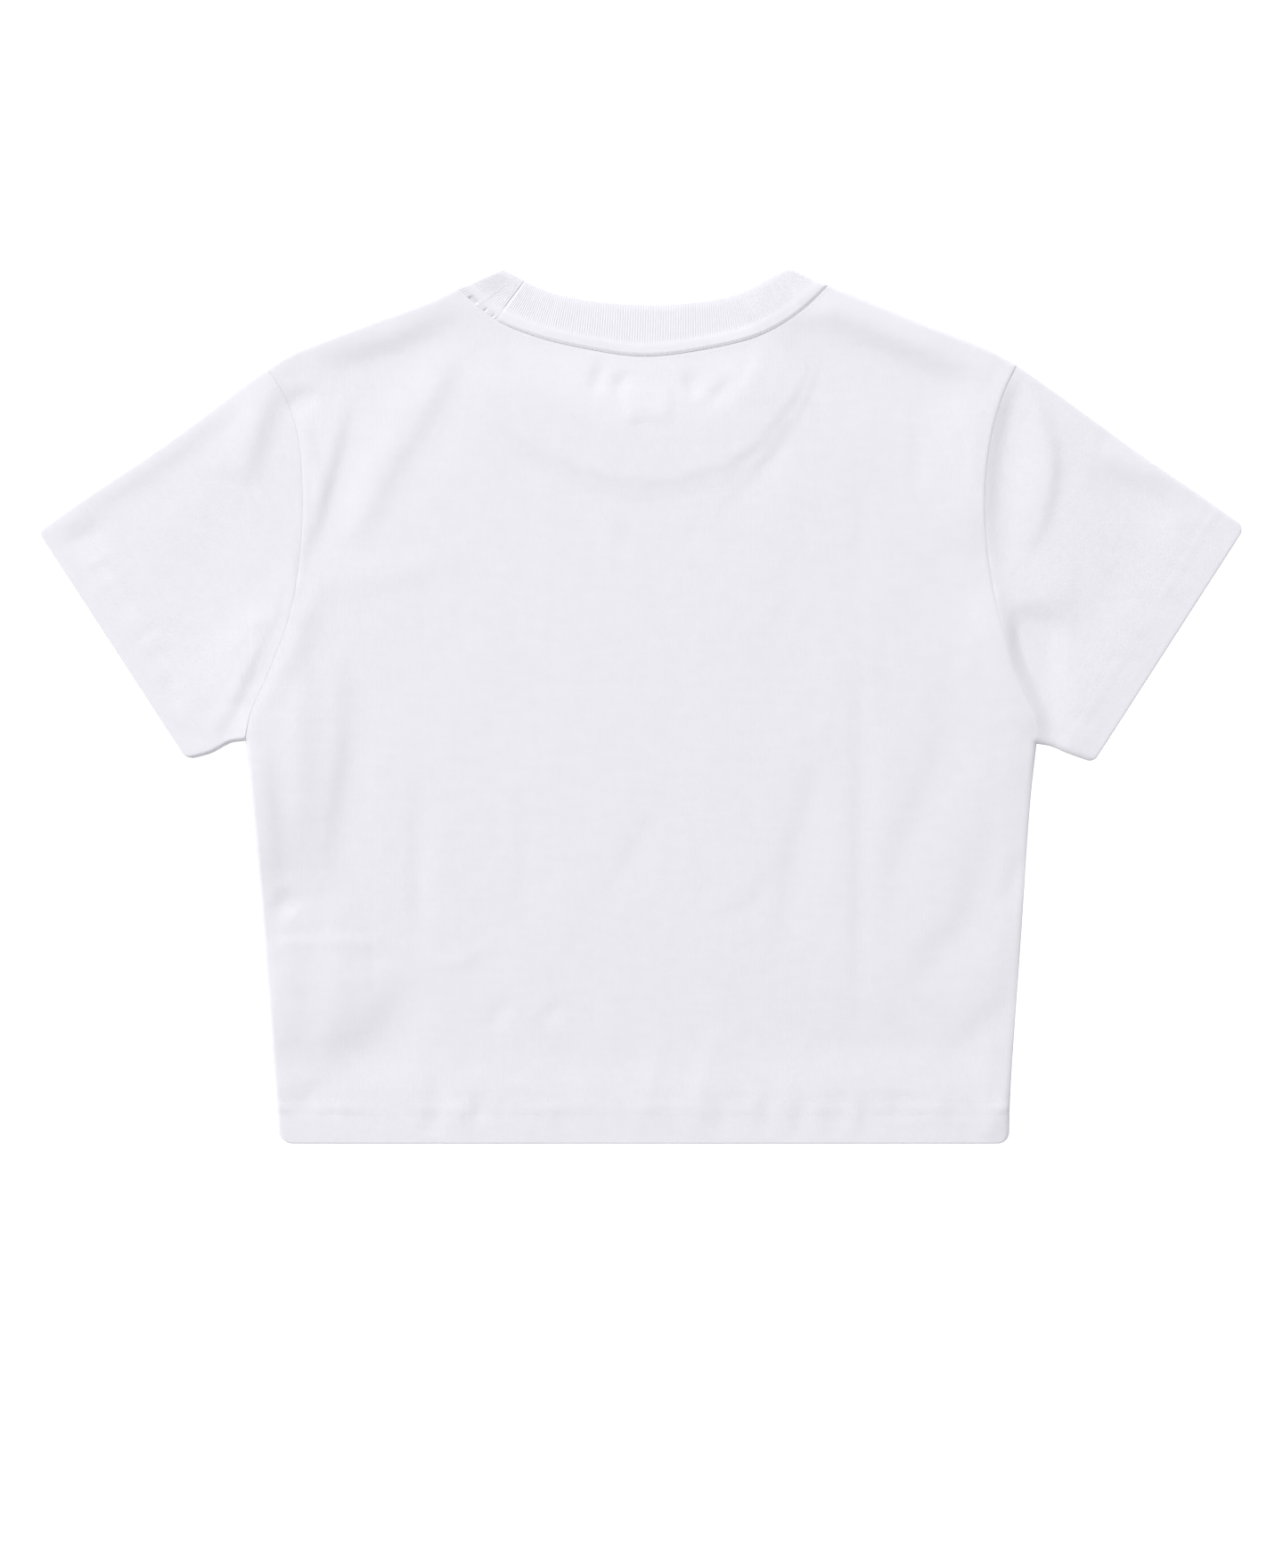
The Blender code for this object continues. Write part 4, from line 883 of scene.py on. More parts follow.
@dataclass(frozen=True)
class Gridding:
    """The spacing of a piece's mesh, in metres."""

    step: float
    hem_step: float = 0.0009
    hem_reach: float = 0.0290
    roll_steps: int = 7
    half_hem: float = 0.00075  # half the hem's wall, which its rounded end stands out by
    last_gap: float = 0.6  # the least gap before a cuff's last row, in its steps
    side_fade: int = 8  # how soon a panel's bent sides straighten towards its middle

    def roll_marks(self, reach: float) -> np.ndarray:
        """Distances from a folded edge that divide its roll into equal turns."""
        turns = np.linspace(0.0, math.pi / 2, self.roll_steps)
        return reach * (1.0 - np.cos(turns))

    def marks_between(self, length: float, reach: float, to_roll: bool = True) -> np.ndarray:
        """Distances along a line, close together where it crosses a rolled edge.

        Args:
            length: The line's length.
            reach: The width of the roll.
            to_roll: Whether the line's end crosses one, as its start does.

        Returns:
            The distances from the line's start.
        """
        start = self.roll_marks(reach)
        end = length - self.roll_marks(reach)[::-1] if to_roll else np.array([length])
        count = max(2, round((end[0] - start[-1]) / self.step) + 1)
        return np.concatenate([start[:-1], np.linspace(start[-1], end[0], count), end[1:]])

    def patch(
        self, left: np.ndarray, right: np.ndarray, bottom: np.ndarray, top: np.ndarray,
        across: np.ndarray, up: np.ndarray, fade: int = 1,
    ) -> np.ndarray:
        """A plan grid filled in between four rows of points.

        Args:
            left: The points of the left side, from the bottom up.
            right: The points of the right side.
            bottom: The points of the bottom row.
            top: The points of the top row.
            across: The weights of the columns, from 0 to 1.
            up: The weights of the rows, from 0 to 1.
            fade: The power with which a side's bends fade towards the other side.

        Returns:
            The grid's points, by row and column.
        """
        u, v = across[None, :, None], up[:, None, None]
        left_bend = left[:, None] - ((1 - v) * left[0] + v * left[-1])
        right_bend = right[:, None] - ((1 - v) * right[0] + v * right[-1])
        straight = (1 - v) * bottom[None] + v * top[None]
        return straight + (1 - u) ** fade * left_bend + u**fade * right_bend

    def armhole_marks(self, plan: Plan, reach: float, path: Path) -> np.ndarray:
        """Where the rows of a panel and the columns of a sleeve meet along an armhole."""
        back = plan.armholes[Side.LEFT]
        return self.marks_between(back.length, reach) / back.length * path.length

    def panel(self, drape: Drape, layer: Layer) -> np.ndarray:
        """Draws a body panel's plan.

        Args:
            drape: The shirt's drape, for its plan and sizes.
            layer: The upper layer is the back panel, the lower one the front.

        Returns:
            The grid, rows from the hem up and columns from left to right.
        """
        plan, reach = drape.plan, drape.roll_reach
        armholes = plan.armholes if layer is Layer.UPPER else plan.front_armholes
        hem_rows = np.arange(self.half_hem, self.hem_reach, self.hem_step)
        rows = {}
        for side in Side:
            edge = plan.sides[side]
            underarm = edge.points[-1, 1]
            count = round((underarm - hem_rows[-1]) / self.step) + 1
            heights = np.concatenate([hem_rows, np.linspace(hem_rows[-1], underarm, count)[1:]])
            across = np.interp(heights, edge.points[:, 1], edge.points[:, 0])
            below = np.column_stack([across, heights])
            above = armholes[side].at(self.armhole_marks(plan, reach, armholes[side]))[1:]
            rows[side] = (below, above)
        short = min(len(rows[side][0]) for side in Side)
        rows = {side: np.vstack([self.recounted(below, short, len(hem_rows)), above])
                for side, (below, above) in rows.items()}
        left_fold, right_fold = (
            fold.at(self.marks_between(fold.length, reach, to_roll=False))
            for fold in plan.shoulders.values()
        )
        seam = plan.neck_seams[layer]
        neck = seam.at(self.marks_between(seam.length, reach))
        top = np.vstack([left_fold[:-1], neck, right_fold[::-1][1:]])
        across = (top[:, 0] - top[0, 0]) / (top[-1, 0] - top[0, 0])
        left, right = rows[Side.LEFT], rows[Side.RIGHT]
        bottom = (1 - across[:, None]) * left[0] + across[:, None] * right[0]
        heights = (left[:, 1] + right[:, 1]) / 2
        up = np.clip((heights - drape.hem_depth) / (heights[-1] - drape.hem_depth), 0.0, 1.0)
        return self.patch(left, right, bottom, top, across, up, self.side_fade)

    def recounted(self, rows: np.ndarray, count: int, kept: int) -> np.ndarray:
        """The rows again, with the first ones kept and as many in all as asked for."""
        if len(rows) == count:
            return rows
        places = np.concatenate([np.arange(kept), np.linspace(kept, len(rows) - 1, count - kept)])
        whole = np.arange(len(rows))
        return np.column_stack([np.interp(places, whole, rows[:, k]) for k in (0, 1)])

    def sleeve(self, drape: Drape, side: Side, layer: Layer) -> np.ndarray:
        """Draws half a sleeve's plan.

        Args:
            drape: The shirt's drape, for its plan and sizes.
            side: The sleeve's side.
            layer: The half of the flattened sleeve.

        Returns:
            The grid, rows from the armhole to the cuff, columns from the underarm to the shoulder.
        """
        plan = drape.plan
        armholes = plan.armholes if layer is Layer.UPPER else plan.front_armholes
        armhole = armholes[side]
        marks = self.armhole_marks(plan, drape.roll_reach, armhole)
        start = Path(armhole.at(marks)).moved_left(-side.turn * drape.visible_gap).points
        cuff = plan.cuffs[side].moved_left(side.turn * self.half_hem)
        least = self.half_hem + self.last_gap * self.hem_step
        from_cuff = np.append(np.arange(self.hem_reach, least, -self.hem_step), self.half_hem)
        count = round((plan.top[side].length - self.hem_reach) / self.step)
        folds = []
        for fold, first, last in (
            (plan.under[side], start[0], cuff.points[0]),
            (plan.top[side], start[-1], cuff.points[-1]),
        ):
            free = np.linspace(0.0, fold.length - from_cuff[0], count)
            points = fold.at(np.concatenate([free[:-1], fold.length - from_cuff]))
            points[0], points[-1] = first, last
            folds.append(points)
        across = marks / armhole.length
        end = cuff.at(across * cuff.length)
        up = np.minimum(np.arange(len(folds[0])) / (len(folds[0]) - len(from_cuff)), 1.0)
        return self.patch(folds[0], folds[1], start, end, across, up)


# ---------------- shells


class Shell:
    """Collects the points, faces and grain of one closed wall of cloth."""

    def __init__(self) -> None:
        """Starts with nothing."""
        self.points: list[np.ndarray] = []
        self.grain: list[np.ndarray] = []
        self.faces: list[np.ndarray] = []
        self.count = 0

    def add(self, points: np.ndarray, grain: np.ndarray) -> np.ndarray:
        """Adds a grid of points with their places in the cloth's grain.

        Args:
            points: The points, by row and column.
            grain: Distances across and along the wales for each, in metres.

        Returns:
            The points' numbers, in the same grid.
        """
        numbers = np.arange(self.count, self.count + points[..., 0].size).reshape(points.shape[:-1])
        self.points.append(points.reshape(-1, 3))
        self.grain.append(np.broadcast_to(grain, points.shape[:-1] + (2,)).reshape(-1, 2))
        self.count += numbers.size
        return numbers

    def skin(self, numbers: np.ndarray, closed: bool = False) -> None:
        """Covers a grid of numbers with quads; a closed one joins its last column to its first."""
        if closed:
            numbers = np.column_stack([numbers, numbers[:, :1]])
        corners = (numbers[:-1, :-1], numbers[:-1, 1:], numbers[1:, 1:], numbers[1:, :-1])
        self.faces.append(np.stack(corners, axis=-1).reshape(-1, 4))

    def build(self, name: str, finish: bpy.types.Material) -> bpy.types.Object:
        """Makes the object.

        Args:
            name: The piece's name.
            finish: Its material.

        Returns:
            The object, at the origin, with its faces pointing outwards.
        """
        points = rounded_corners(np.vstack(self.points)) - FRAME_MIDDLE
        mesh = bpy.data.meshes.new(name)
        mesh.from_pydata(points.tolist(), [], np.vstack(self.faces).tolist())
        shape = bmesh.new()
        shape.from_mesh(mesh)
        bmesh.ops.recalc_face_normals(shape, faces=shape.faces)
        shape.to_mesh(mesh)
        shape.free()
        corners = np.zeros(len(mesh.loops), np.int32)
        mesh.loops.foreach_get("vertex_index", corners)
        layer = mesh.uv_layers.new(name="grain", do_init=False)
        layer.uv.foreach_set("vector", np.vstack(self.grain)[corners].astype(np.float32).ravel())
        mesh.shade_smooth()
        mesh.set_sharp_from_angle(angle=SHARP)
        mesh.materials.append(finish)
        return linked(name, mesh)


def linked(name: str, data: bpy.types.ID) -> bpy.types.Object:
    """A new object in the scene."""
    thing = bpy.data.objects.new(name, data)
    bpy.context.scene.collection.objects.link(thing)
    return thing


def report(piece: bpy.types.Object) -> None:
    """Logs a finished piece's triangles."""
    faces = piece.data.polygons
    LOG.info("%s: %d triangles", piece.name, sum(len(face.vertices) - 2 for face in faces))


def ring(upper: np.ndarray, lower: np.ndarray) -> np.ndarray:
    """The grid round a flattened tube, from the grids of its halves."""
    return np.concatenate([upper, lower[:, ::-1][:, 1:-1]], axis=1)


def rounded_corners(points: np.ndarray, spill: float = 0.3) -> np.ndarray:
    """Rounds the outline's corners, by easing the square at each one into a quarter disc.

    Args:
        points: The points, which are changed in place.
        spill: How far outside its square each corner still takes points, in radii.

    Returns:
        The same points.
    """
    plan = points[:, :2]
    for tip, toward_a, toward_b, radius in CORNERS:
        origin = np.array(tip) * MM
        sides = np.array([toward_a, toward_b]) * MM - origin
        sides /= np.linalg.norm(sides, axis=1)[:, None]
        within = (plan - origin) @ np.linalg.inv(sides) / (radius * MM)
        near = np.all((within < 1.0) & (within > -spill), axis=1)
        a, b = (1.0 - within[near]).T
        eased = np.column_stack([a * np.sqrt(1.0 - b**2 / 2), b * np.sqrt(1.0 - a**2 / 2)])
        plan[near] = origin + (1.0 - eased) * radius * MM @ sides
    return points


def rounded_end(outer: np.ndarray, inner: np.ndarray, ahead: np.ndarray) -> np.ndarray:
    """Rows of points that carry a wall round its end, from its outer points to its inner ones.

    Args:
        outer: The last row of outer points.
        inner: The last row of inner points.
        ahead: The direction in which the end points.

    Returns:
        The rows.
    """
    middle, half = (outer + inner) / 2, (outer - inner) / 2
    reach = np.linalg.norm(half, axis=1)[:, None] * ahead
    return np.array([
        middle + half * math.cos(math.pi * turn) + reach * math.sin(math.pi * turn)
        for turn in END_TURNS
    ])


# ---------------- finishes


def link_chain(tree: bpy.types.NodeTree, *links: tuple) -> None:
    """Joins pairs of sockets, each an output and an input."""
    for source, target in links:
        tree.links.new(source, target)


def new_material(
    name: str,
) -> tuple[bpy.types.Material, bpy.types.NodeTree, bpy.types.ShaderNode]:
    """A material with nodes, its tree and its shader."""
    material = bpy.data.materials.new(name)
    material.use_nodes = True
    tree = material.node_tree
    return material, tree, tree.nodes["Principled BSDF"]


class Noise(NamedTuple):
    """A noise's scale across and along the grain, its detail and its roughness."""

    across: float
    along: float
    detail: float
    roughness: float


class GroupMaker:
    """Builds a shader node group with named inputs and outputs."""

    def __init__(
        self, name: str, inputs: dict[str, float | None], outputs: tuple[str, ...],
    ) -> None:
        """Makes the group's sockets; an input of None is a vector, and an output is a number."""
        self.tree = bpy.data.node_groups.new(name, "ShaderNodeTree")
        for label, value in inputs.items():
            kind = "NodeSocketVector" if value is None else "NodeSocketFloat"
            socket = self.tree.interface.new_socket(label, in_out="INPUT", socket_type=kind)
            if value is not None:
                socket.default_value = value
        for label in outputs:
            self.tree.interface.new_socket(label, in_out="OUTPUT", socket_type="NodeSocketFloat")
        self.given = self.tree.nodes.new("NodeGroupInput")
        self.result = self.tree.nodes.new("NodeGroupOutput")

    def math(self, operation: str, *values: object) -> bpy.types.NodeSocket:
        """A Math node's output; each value is a number or another output."""
        node = self.tree.nodes.new("ShaderNodeMath")
        node.operation = operation
        for k, value in enumerate(values):
            if isinstance(value, bpy.types.NodeSocket):
                self.tree.links.new(value, node.inputs[k])
            else:
                node.inputs[k].default_value = value
        return node.outputs[0]

    def split(self, vector: bpy.types.NodeSocket) -> list[bpy.types.NodeSocket]:
        """A vector's first two parts."""
        node = self.tree.nodes.new("ShaderNodeSeparateXYZ")
        self.tree.links.new(vector, node.inputs[0])
        return [node.outputs[0], node.outputs[1]]

    def noise(self, vector: bpy.types.NodeSocket, noise: Noise) -> bpy.types.NodeSocket:
        """A Noise node's value."""
        mapping = self.tree.nodes.new("ShaderNodeMapping")
        mapping.inputs["Scale"].default_value = (noise.across, noise.along, noise.along)
        self.tree.links.new(vector, mapping.inputs["Vector"])
        node = self.tree.nodes.new("ShaderNodeTexNoise")
        node.inputs["Scale"].default_value = 1.0
        node.inputs["Detail"].default_value = noise.detail
        node.inputs["Roughness"].default_value = noise.roughness
        self.tree.links.new(mapping.outputs[0], node.inputs["Vector"])
        return node.outputs[0]


@dataclass(frozen=True)
class KnitLoops:
    """The V-shaped loops of a knit: wales as soft columns, crossed by slanting courses."""

    wale: float = 0.0007
    course: float = 0.0006
    slant: float = 1.6  # of a loop's two legs
    fullness: float = 0.6  # the power that makes a wale fuller than the groove beside it
    swing: float = 0.45  # the share of the height that comes and goes with the courses

    def group(self) -> bpy.types.NodeTree:
        """Makes the node group."""
        sizes = {"Grain": None, "Wale": self.wale, "Course": self.course}
        make = GroupMaker("knit_loops", sizes, ("Height",))
        across, along = make.split(make.given.outputs["Grain"])
        column = make.math("FRACT", make.math("DIVIDE", across, make.given.outputs["Wale"]))
        offset = make.math("ABSOLUTE", make.math("SUBTRACT", column, 0.5))
        course = make.math("DIVIDE", along, make.given.outputs["Course"])
        slant = make.math("MULTIPLY_ADD", offset, self.slant, course)
        loop = make.math("ABSOLUTE", make.math("SINE", make.math("MULTIPLY", slant, math.pi)))
        wale = make.math("SINE", make.math("MULTIPLY", column, math.pi))
        groove = make.math("POWER", make.math("MAXIMUM", wale, 0.0), self.fullness)
        swung = make.math("MULTIPLY_ADD", loop, self.swing, 1.0 - self.swing)
        height = make.math("MULTIPLY", groove, swung)
        link_chain(make.tree, (height, make.result.inputs["Height"]))
        return make.tree


@dataclass(frozen=True)
class CottonTone:
    """Unevenness of cotton: streaks of thicker yarn along the wales, soft mottling and lint."""

    streak: Noise = Noise(60.0, 240.0, 3.0, 0.55)
    mottle: Noise = Noise(110.0, 90.0, 2.0, 0.5)
    lint: Noise = Noise(900.0, 700.0, 4.0, 0.7)

    def group(self) -> bpy.types.NodeTree:
        """Makes the node group."""
        make = GroupMaker("cotton_tone", {"Grain": None}, ("Tone", "Lint"))
        grain = make.given.outputs["Grain"]
        streak, mottle = make.noise(grain, self.streak), make.noise(grain, self.mottle)
        halves = [make.math("MULTIPLY", each, 0.5) for each in (streak, mottle)]
        tone, lint = make.math("ADD", *halves), make.noise(grain, self.lint)
        wanted = make.result.inputs
        link_chain(make.tree, (tone, wanted["Tone"]), (lint, wanted["Lint"]))
        return make.tree


@dataclass(frozen=True)
class KnitFinish:
    """White cotton knit."""

    name: str
    light: tuple[float, float, float] = (0.805, 0.796, 0.843)
    deep: tuple[float, float, float] = (0.788, 0.779, 0.827)
    wale: float = 0.00072
    course: float = 0.00058
    tones: tuple[float, float] = (0.35, 0.65)  # where the yarn's noise is deep, and where light
    loop_depth: float = 0.00007
    loop_strength: float = 0.6
    lint_depth: float = 0.00012
    lint_strength: float = 0.5
    roughness: float = 0.92
    sheen: float = 0.06
    sheen_roughness: float = 0.5
    scatter: float = 0.25
    scatter_reach: float = 0.0012
    specular: float = 0.2

    def material(self, groups: dict[str, bpy.types.NodeTree]) -> bpy.types.Material:
        """Makes the material.

        Args:
            groups: The shared node groups, by name.

        Returns:
            The material, which reads the piece's grain map.
        """
        material, tree, shader = new_material(self.name)
        shader.inputs["Roughness"].default_value = self.roughness
        shader.inputs["Sheen Weight"].default_value = self.sheen
        shader.inputs["Sheen Roughness"].default_value = self.sheen_roughness
        shader.inputs["Subsurface Weight"].default_value = self.scatter
        shader.inputs["Subsurface Radius"].default_value = (1.0, 1.0, 1.0)
        shader.inputs["Subsurface Scale"].default_value = self.scatter_reach
        shader.inputs["Specular IOR Level"].default_value = self.specular
        grain = tree.nodes.new("ShaderNodeUVMap")
        grain.uv_map = "grain"
        loops = tree.nodes.new("ShaderNodeGroup")
        loops.node_tree = groups["knit_loops"]
        loops.inputs["Wale"].default_value = self.wale
        loops.inputs["Course"].default_value = self.course
        tone = tree.nodes.new("ShaderNodeGroup")
        tone.node_tree = groups["cotton_tone"]
        ramp = tree.nodes.new("ShaderNodeValToRGB")
        stops = zip(ramp.color_ramp.elements, self.tones, (self.deep, self.light))
        for stop, place, colour in stops:
            stop.position = place
            stop.color = (*colour, 1.0)
        lint_bump = tree.nodes.new("ShaderNodeBump")
        loop_bump = tree.nodes.new("ShaderNodeBump")
        for node, strength, depth in (
            (lint_bump, self.lint_strength, self.lint_depth),
            (loop_bump, self.loop_strength, self.loop_depth),
        ):
            node.inputs["Strength"].default_value = strength
            node.inputs["Distance"].default_value = depth
        link_chain(
            tree,
            (grain.outputs["UV"], loops.inputs["Grain"]),
            (grain.outputs["UV"], tone.inputs["Grain"]),
            (tone.outputs["Tone"], ramp.inputs["Fac"]),
            (ramp.outputs["Color"], shader.inputs["Base Color"]),
            (tone.outputs["Lint"], lint_bump.inputs["Height"]),
            (lint_bump.outputs["Normal"], loop_bump.inputs["Normal"]),
            (loops.outputs["Height"], loop_bump.inputs["Height"]),
            (loop_bump.outputs["Normal"], shader.inputs["Normal"]),
        )
        return material


@dataclass(frozen=True)
class ThreadFinish:
    """White sewing thread with a slight shine."""

    name: str = "sewing_thread"
    colour: tuple[float, float, float] = (0.84, 0.83, 0.87)
    # painted shade: the share of the colour that is left in the dips between the strands
    painted_strand_shade: float = 0.94  # of that colour, between its strands
    roughness: float = 0.6
    twist_scale: float = 2600.0
    twist_depth: float = 0.00005

    def material(self) -> bpy.types.Material:
        """Makes the material, with the thread's twist in its bump and painted shade in the twist's
        dips.
        """
        material, tree, shader = new_material(self.name)
        shader.inputs["Roughness"].default_value = self.roughness
        place = tree.nodes.new("ShaderNodeTexCoord")
        twist = tree.nodes.new("ShaderNodeTexNoise")
        twist.inputs["Scale"].default_value = self.twist_scale
        ramp = tree.nodes.new("ShaderNodeValToRGB")
        # painted shade: the ramp darkens the thread where the twist's bump is low
        ramp.color_ramp.elements[0].color = (*(self.painted_strand_shade * part for part in self.colour), 1.0)
        ramp.color_ramp.elements[1].color = (*self.colour, 1.0)
        bump_node = tree.nodes.new("ShaderNodeBump")
        bump_node.inputs["Distance"].default_value = self.twist_depth
        link_chain(
            tree,
            (place.outputs["Object"], twist.inputs["Vector"]),
            (twist.outputs[0], ramp.inputs["Fac"]),
            (ramp.outputs["Color"], shader.inputs["Base Color"]),
            (twist.outputs[0], bump_node.inputs["Height"]),
            (bump_node.outputs["Normal"], shader.inputs["Normal"]),
        )
        return material


@dataclass(frozen=True)
class FloorFinish:
    """Plain white paper that reads as clean white."""

    name: str = "studio_paper"
    white: float = 0.9
    glow: float = 0.35
    lift: float = 0.5  # more of it where the camera sees it

    def material(self) -> bpy.types.Material:
        """Makes the material."""
        material, tree, shader = new_material(self.name)
        shader.inputs["Base Color"].default_value = (self.white, self.white, self.white, 1.0)
        shader.inputs["Roughness"].default_value = 1.0
        shader.inputs["Specular IOR Level"].default_value = 0.0
        seen = tree.nodes.new("ShaderNodeLightPath")
        lift = tree.nodes.new("ShaderNodeMath")
        lift.operation = "MULTIPLY_ADD"
        lift.inputs[1].default_value = self.lift
        lift.inputs[2].default_value = self.glow
        shader.inputs["Emission Color"].default_value = (1.0, 1.0, 1.0, 1.0)
        link_chain(
            tree,
            (seen.outputs["Is Camera Ray"], lift.inputs[0]),
            (lift.outputs[0], shader.inputs["Emission Strength"]),
        )
        return material


# ---------------- sewing


@dataclass(frozen=True)
class Stitch:
    """One stitch of thread, which dips into the cloth at both ends."""

    length: float = 0.0024
    thick: float = 0.00036
    sides: int = 6
    cuts: tuple[float, ...] = (-0.3, 0.0, 0.3)  # across it, in shares of its length
    taper: float = 0.35  # how much slimmer its ends are
    dip: float = 0.8  # how far they go down, in its thickness

    def points_and_faces(self) -> tuple[np.ndarray, list[list[int]]]:
        """Models the stitch by hand, and takes its mesh.

        Returns:
            Its points, along X and up Z round the origin, and its faces.
        """
        bpy.ops.object.select_all(action="DESELECT")
        bpy.ops.mesh.primitive_cylinder_add(
            vertices=self.sides, radius=self.thick / 2, depth=self.length,
            rotation=(0.0, math.pi / 2, 0.0),
        )
        thread = bpy.context.active_object
        bpy.ops.object.transform_apply(location=True, rotation=True, scale=True)
        bpy.ops.object.mode_set(mode="EDIT")
        for share in self.cuts:
            bpy.ops.mesh.select_all(action="SELECT")
            bpy.ops.mesh.bisect(plane_co=(share * self.length, 0.0, 0.0), plane_no=(1.0, 0.0, 0.0))
        shape = bmesh.from_edit_mesh(thread.data)
        for vertex in shape.verts:
            along = abs(vertex.co.x) / (self.length / 2)
            slim = 1.0 - self.taper * along**2
            vertex.co.y *= slim
            vertex.co.z = vertex.co.z * slim - self.dip * self.thick * along**2
        bmesh.update_edit_mesh(thread.data)
        bpy.ops.object.mode_set(mode="OBJECT")
        points = np.array([vertex.co for vertex in thread.data.vertices])
        faces = [list(face.vertices) for face in thread.data.polygons]
        mesh = thread.data
        bpy.data.objects.remove(thread)
        bpy.data.meshes.remove(mesh)
        return points, faces


@dataclass
class Seamstress:
    """Sews rows of stitches onto finished cloth."""

    thread: bpy.types.Material
    stitch: Stitch = Stitch()
    stray: float = 0.03  # how far stitches stray along their row, in pitches
    turn: float = 0.05  # how far they turn from it, in radians
    look: float = 0.0004  # how far ahead and back a row's direction is read
    sink: float = 0.00004  # how far they are pressed into the cloth
    reach: float = 0.05  # from where they are dropped onto it

    def __post_init__(self) -> None:
        """Models one stitch."""
        self.points, self.faces = self.stitch.points_and_faces()

    def row(self, line: Path, pitch: float, seed: int) -> list[tuple[np.ndarray, np.ndarray]]:
        """Places and directions of the stitches along a line.

        Args:
            line: The line in plan, in metres from the middle line and the hem.
            pitch: The distance from one stitch to the next.
            seed: What their slight unevenness starts from.

        Returns:
            A plan point and a direction for each stitch.
        """
        draw = np.random.default_rng(seed)
        marks = np.arange(pitch / 2, line.length, pitch)
        marks = marks + draw.normal(0.0, self.stray * pitch, len(marks))
        ahead = line.at(marks + self.look) - line.at(marks - self.look)
        angles = np.arctan2(ahead[:, 1], ahead[:, 0]) + draw.normal(0.0, self.turn, len(marks))
        return list(zip(line.at(marks), np.column_stack([np.cos(angles), np.sin(angles)])))

    def sew(
        self, name: str, cloth: bpy.types.Object, stitches: list, layer: Layer,
    ) -> bpy.types.Object:
        """Makes one piece of all the stitches on one side of a piece of cloth.

        Args:
            name: The piece's name.
            cloth: The finished cloth that they lie on.
            stitches: Their plan points and directions.
            layer: The side of the shirt that they are seen from.

        Returns:
            The object.
        """
        face = 1.0 if layer is Layer.UPPER else -1.0
        tree = BVHTree.FromPolygons(
            [vertex.co for vertex in cloth.data.vertices],
            [tuple(polygon.vertices) for polygon in cloth.data.polygons],
        )
        points, faces = [], []
        for spot, ahead in stitches:
            above = Vector((*(spot - FRAME_MIDDLE[:2]), self.reach * face))
            hit, normal, _, _ = tree.ray_cast(above, Vector((0.0, 0.0, -face)))
            if hit is None:
                continue
            up = np.array(normal) * (1.0 if normal.z * face > 0 else -1.0)
            along = np.array([*ahead, 0.0])
            along -= up * (along @ up)
            along /= np.linalg.norm(along)
            axes = np.array([along, np.cross(up, along), up])
            start = len(points) * len(self.points)
            points.append(self.points @ axes + np.array(hit) - up * self.sink)
            faces.extend([[start + k for k in corners] for corners in self.faces])
        mesh = bpy.data.meshes.new(name)
        mesh.from_pydata(np.vstack(points).tolist(), [], faces)
        mesh.shade_smooth()
        mesh.materials.append(self.thread)
        return linked(name, mesh)


# ---------------- pieces of the shirt


@dataclass
class BodyPanel:
    """The back or the front of the body: one piece of jersey with its hem turned in."""

    drape: Drape
    finish: bpy.types.Material
    layer: Layer
    node: str
    step: float = 0.0026
    wall: float = 0.00078
    hem_wall: float = 0.00150
    # how far the front's face is pressed up off the surface, in wide and in narrow swells
    swells: tuple[tuple[float, Grain], ...] = (
        (0.00030, Grain(0.034, 0.075, 21)), (0.00012, Grain(0.011, 0.026, 22)),
    )
    sewn_in: float = 1.5  # how strong its hem's sewing is, against the back's

    def build(self) -> bpy.types.Object:
        """Makes the panel's shell."""
        grid = Gridding(self.step).panel(self.drape, self.layer)
        shape = grid.shape[:2]
        flat = grid.reshape(-1, 2)
        wall = self.drape.shell_wall(flat, Zone.BODY, self.wall, self.hem_wall)
        gap = self.drape.seam_gap / 2
        if self.layer is Layer.UPPER:
            sides = self.drape.upper(flat, Zone.BODY, wall, wall, self.drape.roll_height + gap)
        else:
            relief = self.underside(flat)
            sides = self.drape.lower(flat, wall, wall, self.drape.roll_height - gap, relief)
        outer, inner = (side.reshape(*shape, 3) for side in sides)
        cloth = Shell()
        out = cloth.add(outer, grid)
        down = np.array([0.0, -1.0, 0.0])
        hem = cloth.add(rounded_end(outer[0], inner[0], down), grid[:1])
        into = cloth.add(inner, grid)
        cloth.skin(out)
        cloth.skin(into[:, ::-1])
        cloth.skin(np.vstack([into[:1], hem[::-1], out[:1]]))
        cloth.skin(np.vstack([out[-1:], into[-1:]]))
        cloth.skin(np.vstack([into[:, 0], out[:, 0]]).T)
        cloth.skin(np.vstack([out[:, -1], into[:, -1]]).T)
        self.close_hem(cloth, np.vstack([out[0], hem, into[0]]))
        piece = cloth.build(self.node.replace("panel", "cloth"), self.finish)
        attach(piece, "root")
        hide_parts(self.node)
        report(piece)
        return piece

    def close_hem(self, cloth: Shell, ends: np.ndarray) -> None:
        """Closes the hem's two ends with fans of quads, from the rows that go round it."""
        for column in (ends[:, 0], ends[::-1, -1]):
            cloth.faces.append(np.array([
                [column[k], column[k + 1], column[-2 - k], column[-1 - k]]
                for k in range(len(column) // 2 - 1)
            ]))

    def underside(self, plan: np.ndarray) -> np.ndarray:
        """How far the front's face is pressed up off the surface by its creases and its sewing."""
        waves = sum(grain.crests(plan, height) for height, grain in self.swells)
        sewing = np.maximum(-self.drape.hem_sewing(plan, Zone.BODY, plan[:, 0]), 0.0)
        return waves + self.sewn_in * sewing


